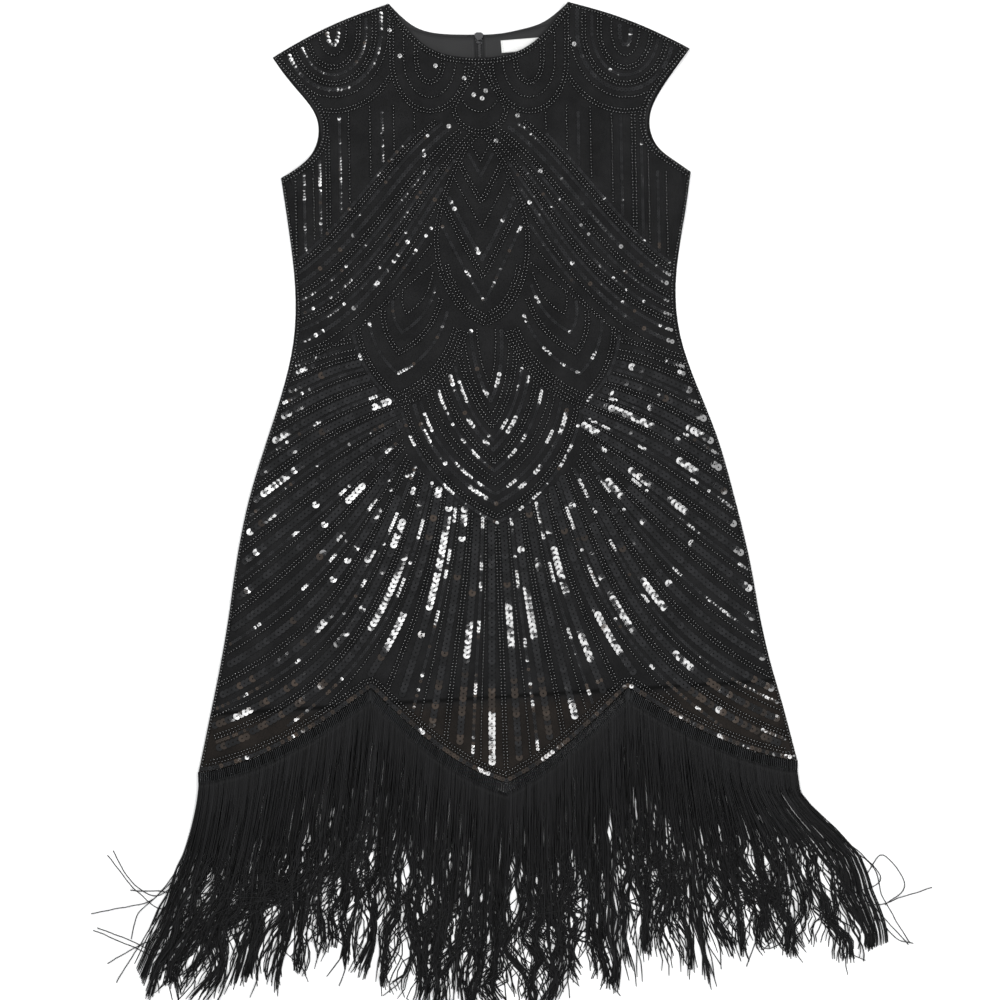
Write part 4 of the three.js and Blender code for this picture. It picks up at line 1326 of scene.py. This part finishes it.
def lay_back_edges(work, loops):
    """Two rows of beads round each half of the back."""
    for loop in loops:
        closed = resampled(np.vstack([loop, loop[:1]]), EDGE_PITCH)
        area = 0.5 * np.sum(closed[:-1, 0] * closed[1:, 1] - closed[1:, 0] * closed[:-1, 1])
        for distance in BACK_EDGE_DISTANCES:
            line = beside(closed, math.copysign(distance, area))
            work.lay("bead", clear_of(line, closed, distance), margin=0.0006)


def make_back_beadwork(halves, materials):
    """The back's rows, flat because the dress lies on them."""
    work = Beadwork(Surface(halves, -1), blocked=[on_side(1, back_strip())])
    lay_back_edges(work, [rim_loop(piece) for piece in halves])
    lay_motifs(work)
    flat = {"shape": sequin_shape(segments=6, cup=0.0), "lift": 0.5, "tilt": 0.15}
    return joined_bands("back", work, materials, -1, UNDERSIDE_BEAD_HEIGHT, **flat)


# Zip, label and sewing


def make_zip(materials):
    """The tapes, with a coil of small bars that reach across each other, and the painted slider and tab."""
    tape = cloth_piece("zip_tapes", "zip_tape", materials["tape"])
    over_tape = Surface([tape], 1)
    heights = np.arange(COIL["start"], ZIP_BOTTOM[1] + 0.002, -COIL["pitch"])
    bars = []
    for index, y in enumerate(heights):
        x, side = float(zip_x(y)), 1 if index % 2 else -1
        found = over_tape.at(x, y)
        if found is None:
            continue
        top = found[0]
        reach, rise = COIL["reach"], COIL["thick"]
        bars.append(
            [
                (x + side * reach * 1.15, y - 0.0003, top - 0.9 * rise),
                (x + side * reach, y, top + 0.1 * rise),
                (x, y, top + 0.3 * rise),
                (x - side * reach * 0.55, y + 0.0002, top - 0.2 * rise),
            ]
        )
    bars = np.array(bars)
    coil = tubes("zip_coil", bars, COIL["thick"], 5, materials["coil"])
    for name in ("zip_slider", "zip_pull"):
        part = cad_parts[name]
        part.data.materials.clear()
        part.data.materials.append(materials["metal"])
        rounded = part.modifiers.new("rounded", "BEVEL")
        rounded.width = PAINTED_EDGE
        rounded.segments = 2
        rounded.limit_method = "ANGLE"
        rounded.angle_limit = math.radians(40)
    return tape, coil


# A stitch's points: how far along it each lies, as a share of its length, and how high over the cloth
STITCH = ((-0.5, -0.00015), (-0.2, 0.00012), (0.2, 0.00012), (0.5, -0.00015))
STITCH_RADIUS = {"label": 0.00018, "lining": 0.0002}
# The label's turn in degrees, and where its end stitches lie: from its middle, and half their run
LABEL = {"turn": 5, "end": 0.0212, "half_run": 0.0058}
# The lining's stitches: from the neck's edge, from the zip's line, and the heights beside the zip
SEWING = {"from_neck": 0.0024, "from_zip": 0.0074, "top": 0.502, "bottom": 0.03}


def stitch_run(surface, line, pitch=0.0026, length=0.0016):
    """Short stitches along a line on a cloth, each as four points."""
    points = resampled(line, pitch)
    ahead = unit(np.gradient(points, axis=0), 1e-9)
    made = []
    for (x, y), (dx, dy) in zip(points, ahead):
        places = [(x + share * length * dx, y + share * length * dy) for share, _ in STITCH]
        found = [surface.at(*place) for place in places]
        if None not in found:
            made.append([(*place, hit[0] + up) for place, hit, (_, up) in zip(places, found, STITCH)])
    return made


def make_label(materials):
    label = cloth_piece("label_satin", "label", materials["label"])
    over_label = Surface([label], 1)
    low, high = (np.array(corner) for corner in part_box("label"))
    middle = (low + high)[:2] / 2
    turn = math.radians(LABEL["turn"])
    along = np.array([math.cos(turn), math.sin(turn)])
    across = np.array([-math.sin(turn), math.cos(turn)])
    runs = []
    for end in (-1, 1):
        foot = middle + end * LABEL["end"] * along
        half_run = LABEL["half_run"] * across
        runs += stitch_run(over_label, [foot - half_run, foot + half_run], 0.0019, 0.0012)
    runs = np.array(runs)
    sewn = tubes("label_stitches", runs, STITCH_RADIUS["label"], 4, materials["label_thread"])
    return label, sewn


def make_stitches(materials, cloth):
    """The rows of stitches along the back neck and beside the zip, on the lining."""
    runs = []
    for half, corner in (("back_left_lining", (-0.125, 0.541)), ("back_right_lining", (0.060, 0.543))):
        surface = Surface([cloth[half]], 1)
        loop = rim_loop(cloth[half])
        side = -1 if "left" in half else 1
        zip_corner = (ZIP_TOP[0] + side * 0.005, ZIP_TOP[1])
        neck = resampled(part_of_rim(loop, zip_corner, corner), 0.002)
        for sign in (-1, 1):
            line = beside(neck, sign * SEWING["from_neck"])
            runs += stitch_run(surface, line[2:-2])
        heights = np.linspace(SEWING["top"], SEWING["bottom"], 60)
        down = np.column_stack([zip_x(heights) + side * SEWING["from_zip"], heights])
        runs += stitch_run(surface, down)
    runs = np.array(runs)
    sewn = tubes("lining_stitches", runs, STITCH_RADIUS["lining"], 4, materials["thread"])
    return sewn


# Fringe: many thin cords from a looped header, fanned out as they lie

# The header's loops and the cords: sizes, and each loop's points as shares of its width and heights
HEADER = {"gap": 0.0005, "width": 0.0118, "thread": 0.00098, "pitch": 0.0021}
LOOP_SHARES = np.array([0.0, 0.12, 0.5, 0.9, 1.04])
LOOP_HEIGHTS = np.array([-0.0002, 0.0001, 0.0002, 0.0001, -0.0001])
CORD = {"radius": 0.00070, "points": 27, "sides": 3}
CORD_SEED, HEADER_SEED = 31, 51
# Across the hem from its left corner, 0, to its right one, 1: how far the cords lean aside and fall
FAN = table(
    "across lean fall",
    (0.0, -0.07, 0.196),
    (0.02, -0.068, 0.232),
    (0.06, -0.062, 0.24),
    (0.12, -0.05, 0.244),
    (0.2, -0.04, 0.258),
    (0.279, -0.032, 0.28),
    (0.38, -0.022, 0.262),
    (0.5, -0.01, 0.226),
    (0.6, 0.004, 0.25),
    (0.706, 0.014, 0.286),
    (0.8, 0.034, 0.254),
    (0.9, 0.06, 0.222),
    (0.96, 0.078, 0.206),
    (1.0, 0.096, 0.186),
)
# How much of its lean a cord has reached along its length, at the right edge
RIGHT_EDGE = ((0, 0.14, 0.25, 0.39, 0.49, 0.64, 0.84, 1), (0, 0.04, 0.22, 0.53, 0.71, 0.82, 0.96, 1))
# Clumps of cords: how many, and the spread of how each drifts, bends and falls
CLUMPS = {"count": 44, "drift": 0.0046, "bend": 0.0004, "fall": 0.036}
# The cords that go their own ways: their shares, and how far they stray, end and curl
FREE = {"share": 0.09, "drift": 0.020}
SHORT = {"share": 0.34, "least": 0.72, "most": 0.98}
LOOSE = {"share": 0.34, "gathered": 0.15, "curl": 0.0036}
# What all cords do: drift, uneven length, sway, turn at the end, gathering and curl
EVERY = {
    "drift": 0.0018,
    "uneven": 0.022,
    "sway": (0.0002, 0.0008),
    "turns": (1.2, 3.4),
    "end": 0.0042,
    "gathered": (0.30, 0.95),
    "curl": 0.0006,
    "bends": (0.9, 1.9),
}
LAYERS = table(
    "name node count root_z tip_z spread",
    ("fringe_front_cords", "fringe_front", 1060, 0.0052, 0.0022, 0.0013),
    ("fringe_back_cords", "fringe_back", 500, 0.0013, 0.001, 0.0004),
)
# Gaps between cords that lie apart and meet again: how many, where along the cords, how long, how wide
GAPS = table(
    "count depth steps width",
    (70, (0.4, 0.66), (1.0, 1.6), (0.0012, 0.003)),
    (84, (0.56, 0.9), (1.4, 2.7), (0.0028, 0.0072)),
    (40, (0.86, 1.0), (1.8, 3.8), (0.004, 0.0095)),
)
# Bunches that sweep aside over the rest: where they start, how far aside and up their ends lie
SWEEPS = table(
    "across half share aside up",
    (0.1, 0.03, 0.28, -0.035, 0.012),
    (0.205, 0.035, 0.4, -0.072, 0.05),
    (0.3, 0.03, 0.36, -0.052, 0.044),
    (0.355, 0.022, 0.3, 0.036, 0.024),
    (0.455, 0.03, 0.24, -0.05, 0.024),
    (0.548, 0.026, 0.34, 0.045, 0.046),
    (0.605, 0.022, 0.34, -0.05, 0.044),
    (0.69, 0.026, 0.3, 0.05, 0.052),
    (0.765, 0.026, 0.34, -0.05, 0.046),
    (0.835, 0.024, 0.28, 0.045, 0.034),
    (0.905, 0.024, 0.26, -0.042, 0.048),
)
# Single cords that lie apart from the rest, as points from the fringe outwards
STRAY_CORD = {"radius": 0.00052, "height": 0.0016, "sides": 4}
STRAYS = [
    [(-0.352, -0.385), (-0.383, -0.425), (-0.411, -0.4334), (-0.4515, -0.4417)],
    [(-0.345, -0.4), (-0.372, -0.4358), (-0.4023, -0.4169), (-0.434, -0.3783)],
    [(-0.345, -0.395), (-0.3807, -0.4224), (-0.4106, -0.4032), (-0.4278, -0.3734)],
    [(-0.345, -0.405), (-0.365, -0.418), (-0.3807, -0.4169), (-0.4093, -0.4165)],
    [(-0.352, -0.45), (-0.38, -0.486), (-0.4051, -0.4776), (-0.4493, -0.4595)],
    [(-0.35, -0.44), (-0.378, -0.48), (-0.4079, -0.4707), (-0.445, -0.4568)],
    [(-0.352, -0.43), (-0.372, -0.462), (-0.3969, -0.4747), (-0.434, -0.4954)],
    [(-0.355, -0.41), (-0.376, -0.44), (-0.398, -0.474), (-0.4244, -0.5161)],
    [(-0.352, -0.395), (-0.383, -0.425), (-0.402, -0.444), (-0.4079, -0.469)],
    [(-0.335, -0.44), (-0.355, -0.49), (-0.36, -0.52), (-0.356, -0.54)],
    [(0.345, -0.35), (0.385, -0.38), (0.402, -0.406), (0.366, -0.422)],
    [(0.35, -0.355), (0.394, -0.391), (0.4056, -0.4251), (0.4343, -0.4736)],
    [(0.386, -0.4), (0.405, -0.3785), (0.429, -0.41), (0.4074, -0.4323)],
    [(0.38, -0.425), (0.4011, -0.4323), (0.4253, -0.4234), (0.4585, -0.4135)],
    [(0.38, -0.415), (0.402, -0.4413), (0.4182, -0.4592), (0.4325, -0.4753)],
    [(0.385, -0.425), (0.408, -0.456), (0.423, -0.47), (0.438, -0.474)],
    [(0.205, -0.42), (0.2149, -0.452), (0.2149, -0.4736), (0.2301, -0.4968)],
    [(0.215, -0.425), (0.2337, -0.4574), (0.244, -0.475), (0.2516, -0.4932)],
    [(0.262, -0.43), (0.273, -0.455), (0.2669, -0.4736), (0.257, -0.4986)],
    [(0.25, -0.425), (0.2731, -0.4753), (0.291, -0.4753), (0.2982, -0.461)],
    [(0.062, -0.45), (0.0658, -0.49), (0.064, -0.512), (0.0662, -0.533)],
    [(0.085, -0.455), (0.1053, -0.5067), (0.111, -0.518), (0.1209, -0.5308)],
    [(0.01, -0.46), (0.018, -0.51), (0.034, -0.508), (0.042, -0.488)],
    [(-0.235, -0.44), (-0.178, -0.476), (-0.176, -0.496), (-0.183, -0.52)],
    [(-0.15, -0.455), (-0.112, -0.496), (-0.118, -0.516), (-0.136, -0.53)],
]


class Hem:
    """The front's hem as a line, by share of the way across."""

    def __init__(self, loop):
        line = part_of_rim(loop, CORNERS["hem_left"], CORNERS["hem_right"])
        self.line = line[np.argsort(line[:, 0])]
        self.corners = (self.line[0, 0], CENTRE_PLACES[0], self.line[-1, 0])

    def x_at(self, across):
        return np.interp(across, [0, 0.495, 1], self.corners)

    def y_at(self, x):
        return np.interp(x, self.line[:, 0], self.line[:, 1])


def tubes(name, centrelines, radii, sides, material):
    """One mesh of thin tubes; centrelines is cords by points by 3, radii is one number or cords by points."""
    count, points, _ = centrelines.shape
    radii = np.broadcast_to(radii, (count, points))
    ahead = unit(np.gradient(centrelines, axis=1), 1e-9)
    sideways = unit(np.cross(ahead, [0, 0, 1]), 1e-9)
    upward = np.cross(sideways, ahead)
    turn = np.linspace(0, 2 * math.pi, sides, endpoint=False) + math.pi / 2
    ring = sideways[:, :, None, :] * np.cos(turn)[:, None] + upward[:, :, None, :] * np.sin(turn)[:, None]
    vertices = centrelines[:, :, None, :] + ring * radii[:, :, None, None]
    step = np.arange(points - 1)[:, None] * sides
    first = np.arange(sides)
    after = (first + 1) % sides
    corners = [step + first, step + sides + first, step + sides + after, step + after]
    walls = np.stack(corners, axis=-1).reshape(-1, 4)
    last = (points - 1) * sides + first
    offsets = (np.arange(count) * points * sides)[:, None, None]
    quads = (walls[None] + offsets).reshape(-1, 4)
    starts = (first[None] + offsets[:, 0]).reshape(-1, sides)
    ends = (last[::-1][None] + offsets[:, 0]).reshape(-1, sides)
    faces = [*quads.tolist(), *starts.tolist(), *ends.tolist()]
    return new_object(name, vertices.reshape(-1, 3), faces, [material])


def clumps_of(across):
    """Which clump each cord belongs to, the clumps' middles, and how each clump drifts, bends and ends."""
    shared = np.random.default_rng(77)
    count = CLUMPS["count"]
    edges = np.cumsum(shared.uniform(0.4, 1.6, count))
    edges = np.concatenate([[0], edges]) / edges[-1]
    member = np.clip(np.searchsorted(edges, across) - 1, 0, count - 1)
    drift = shared.normal(0, CLUMPS["drift"], count)
    bend = shared.normal(0, CLUMPS["bend"], count)
    fall = 1 + shared.normal(0, CLUMPS["fall"], count)
    return member, (edges[:-1] + edges[1:]) / 2, drift[member], bend[member], fall[member]


def parted(x, across, share, width_of_hem):
    """Moves the cords apart round each gap; the gaps of both layers lie over each other."""
    shared = np.random.default_rng(123)
    step = 1.0 / (CORD["points"] - 1)
    moved = np.zeros_like(x)
    for kind in GAPS:
        for _ in range(kind["count"]):
            where = shared.uniform(0.03, 0.97)
            depth = round(shared.uniform(*kind["depth"]) / step) * step
            half = shared.uniform(*kind["steps"]) * step
            wide = shared.uniform(*kind["width"])
            slant = shared.normal(0, 0.012)
            aside = (across[:, None] - where) * width_of_hem - slant * (share - depth)
            window = np.clip(1 - ((share - depth) / half) ** 2, 0, 1)
            moved += np.sign(aside) * wide * np.exp(-np.abs(aside) / (1.6 * wide + 0.003)) * window
    return x + moved


def swept(x, y, across, share, random):
    """Moves bunches of cords aside and up over the rest."""
    one_each = (len(across), 1)
    for sweep in SWEEPS:
        near = np.abs(across - sweep["across"]) < sweep["half"]
        moves = (near & (random.uniform(0, 1, len(across)) < sweep["share"]))[:, None]
        start = random.uniform(0.38, 0.58, one_each)
        aside = sweep["aside"] * (1 + 0.28 * random.normal(0, 1, one_each))
        up = sweep["up"] * (1 + 0.25 * random.normal(0, 1, one_each))
        x = x + moves * aside * smooth((share - start) / (1.08 - start), 0, 1)
        y = y + moves * up * smooth(share, 0.62, 1.0)
    return x, y


def cord_lines(hem, layer, seed):
    """The centrelines of one layer's cords: fanned, parted by gaps, gathered, some swept across."""
    random = np.random.default_rng(seed)
    count, points = layer["count"], CORD["points"]
    one_each = (count, 1)
    share = np.linspace(0, 1, points)[None, :]
    keys = [row["across"] for row in FAN]
    leans, falls = [row["lean"] for row in FAN], [row["fall"] for row in FAN]
    across = np.clip((np.arange(count) + random.uniform(0.1, 0.9, count)) / count, 0, 1)
    member, middles, clump_drift, clump_bend, clump_fall = clumps_of(across)
    calm = smooth(across, 0, 0.05) * (1 - smooth(across, 0.95, 1))

    # Each cord's own ways: a few stray, some end short
    free = (random.uniform(0, 1, count) < FREE["share"]) & (across > 0.04) & (across < 0.96)
    own_drift = random.normal(0, EVERY["drift"], count)
    own_drift = own_drift + np.where(free, random.normal(0, FREE["drift"], count), 0)
    ends_short = random.uniform(0, 1, count) < SHORT["share"]
    short = np.where(ends_short, random.uniform(SHORT["least"], SHORT["most"], count), 1.0)
    cut = short * (clump_fall * (1 + random.normal(0, EVERY["uneven"], count)) * calm + (1 - calm))
    fall = np.interp(across, keys, falls) * cut
    lean = np.interp(across, keys, leans) * cut**1.2

    # The fan, and the clumps that gather towards their ends
    left = (1 - smooth(across, 0.03, 0.15))[:, None]
    right = smooth(across, 0.80, 0.97)[:, None]
    profile = left * share**1.6 + (1 - left - right) * share**1.2 + right * np.interp(share, *RIGHT_EDGE)
    root_x = hem.x_at(across)
    x = root_x[:, None] + lean[:, None] * profile
    loose = random.uniform(0, 1, count) < LOOSE["share"]
    gathered = np.where(loose, LOOSE["gathered"], random.uniform(*EVERY["gathered"], count)) * ~free
    middle_x = hem.x_at(middles)[member] + np.interp(middles, keys, leans)[member]
    x += (calm * gathered * (middle_x - root_x - lean))[:, None] * smooth(share, 0.66, 1.0)
    x += (calm * clump_drift)[:, None] * share**4
    x += (calm * clump_bend)[:, None] * np.sin(math.pi * share)
    x += (calm * own_drift)[:, None] * smooth(share, 0.25, 1.1)
    x = parted(x, across, share, hem.corners[2] - hem.corners[0])

    # Sway, ends that turn aside, and curls
    calm = calm[:, None]
    sway = random.uniform(*EVERY["sway"], one_each)
    phase = random.uniform(0, 2 * math.pi, one_each)
    turns = random.uniform(*EVERY["turns"], one_each)
    swaying = np.sin(2 * math.pi * turns * share + phase) - np.sin(phase)
    x += calm * sway * swaying * smooth(share, 0.0, 0.35)
    x += calm * random.normal(0, EVERY["end"], one_each) * smooth(share, 0.80, 1.15)
    curl = np.where(loose, random.normal(0, LOOSE["curl"], count), random.normal(0, EVERY["curl"], count))
    bends = random.uniform(*EVERY["bends"], one_each)
    x += calm * curl[:, None] * np.sin(2 * math.pi * bends * (share - 0.42)) * smooth(share, 0.42, 0.75)
    root_y = hem.y_at(root_x) - HEADER["gap"] - HEADER["width"] + 0.0012
    x, y = swept(x, root_y[:, None] - fall[:, None] * share, across, share, random)

    lying = random.uniform(-1, 1, one_each)
    sink = smooth(share, 0.02, 0.5)
    z = layer["root_z"] + (layer["tip_z"] - layer["root_z"]) * sink
    z = z + layer["spread"] * lying * (0.25 + 0.75 * sink)
    return np.stack([x, y, z], axis=-1)


def header_lines(hem, z, seed):
    """The header's threads: short loops set square to the hem."""
    random = np.random.default_rng(seed)
    line = resampled(np.column_stack([hem.line, np.full(len(hem.line), z)]), HEADER["pitch"])
    out = normals_of(line[:, :2])
    out *= -np.sign(out[:, 1:2])
    turned = np.column_stack([0.55 * out[:, 0], out[:, 1]])
    padded = np.vstack([turned[:1].repeat(4, axis=0), turned, turned[-1:].repeat(4, axis=0)])
    turned = np.mean([padded[shift : shift + len(turned)] for shift in range(9)], axis=0)
    turned = unit(turned)
    steps_out = HEADER["gap"] + HEADER["width"] * LOOP_SHARES
    uneven = random.normal(0, 0.00018, (len(line), 1))
    flat = line[:, None, :2] + turned[:, None, :] * (steps_out[None, :, None] + uneven[:, :, None])
    height = line[:, None, 2] + LOOP_HEIGHTS[None, :]
    return np.concatenate([flat, height[:, :, None]], axis=2)


def make_fringe(front, materials):
    hem = Hem(rim_loop(front))
    pieces = []
    for index, layer in enumerate(LAYERS):
        lines = cord_lines(hem, layer, CORD_SEED + index)
        radii = np.full(lines.shape[:2], CORD["radius"])
        radii[:, -1] *= 0.7
        cords = tubes(layer["name"], lines, radii, CORD["sides"], materials["cord"])
        band = header_lines(hem, layer["root_z"] + 0.0001, HEADER_SEED + index)
        name = layer["name"].replace("cords", "header")
        header = tubes(name, band, HEADER["thread"], 3, materials["header"])
        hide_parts(layer["node"])
        pieces += [cords, header]
    strays = []
    for index, stray in enumerate(STRAYS):
        flat = wandering(through(stray, 8), 0.0006, 300 + index, 0.008)
        strays.append(np.column_stack([flat, np.full(len(flat), STRAY_CORD["height"])]))
    shape = STRAY_CORD["radius"], STRAY_CORD["sides"]
    single = tubes("fringe_strays", np.array(strays), *shape, materials["cord"])
    return [*pieces, single]


# The scene

make_camera()
make_light()
make_tone()
materials = make_materials()
make_floor(materials["floor"])
cloth = make_cloth(materials)
front_beadwork = make_front_beadwork(cloth["front"], materials)
back_beadwork = make_back_beadwork([cloth["back_left"], cloth["back_right"]], materials)
fringe = make_fringe(cloth["front"], materials)
zip_tapes, zip_coil = make_zip(materials)
label, label_stitches = make_label(materials)
lining_stitches = make_stitches(materials, cloth)

for name, piece in cloth.items():
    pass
for piece in [*cloth.values(), *front_beadwork, *back_beadwork, *fringe]:
    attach(piece, "dress")
for piece in [zip_tapes, zip_coil, label, label_stitches, lining_stitches]:
    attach(piece, "dress")
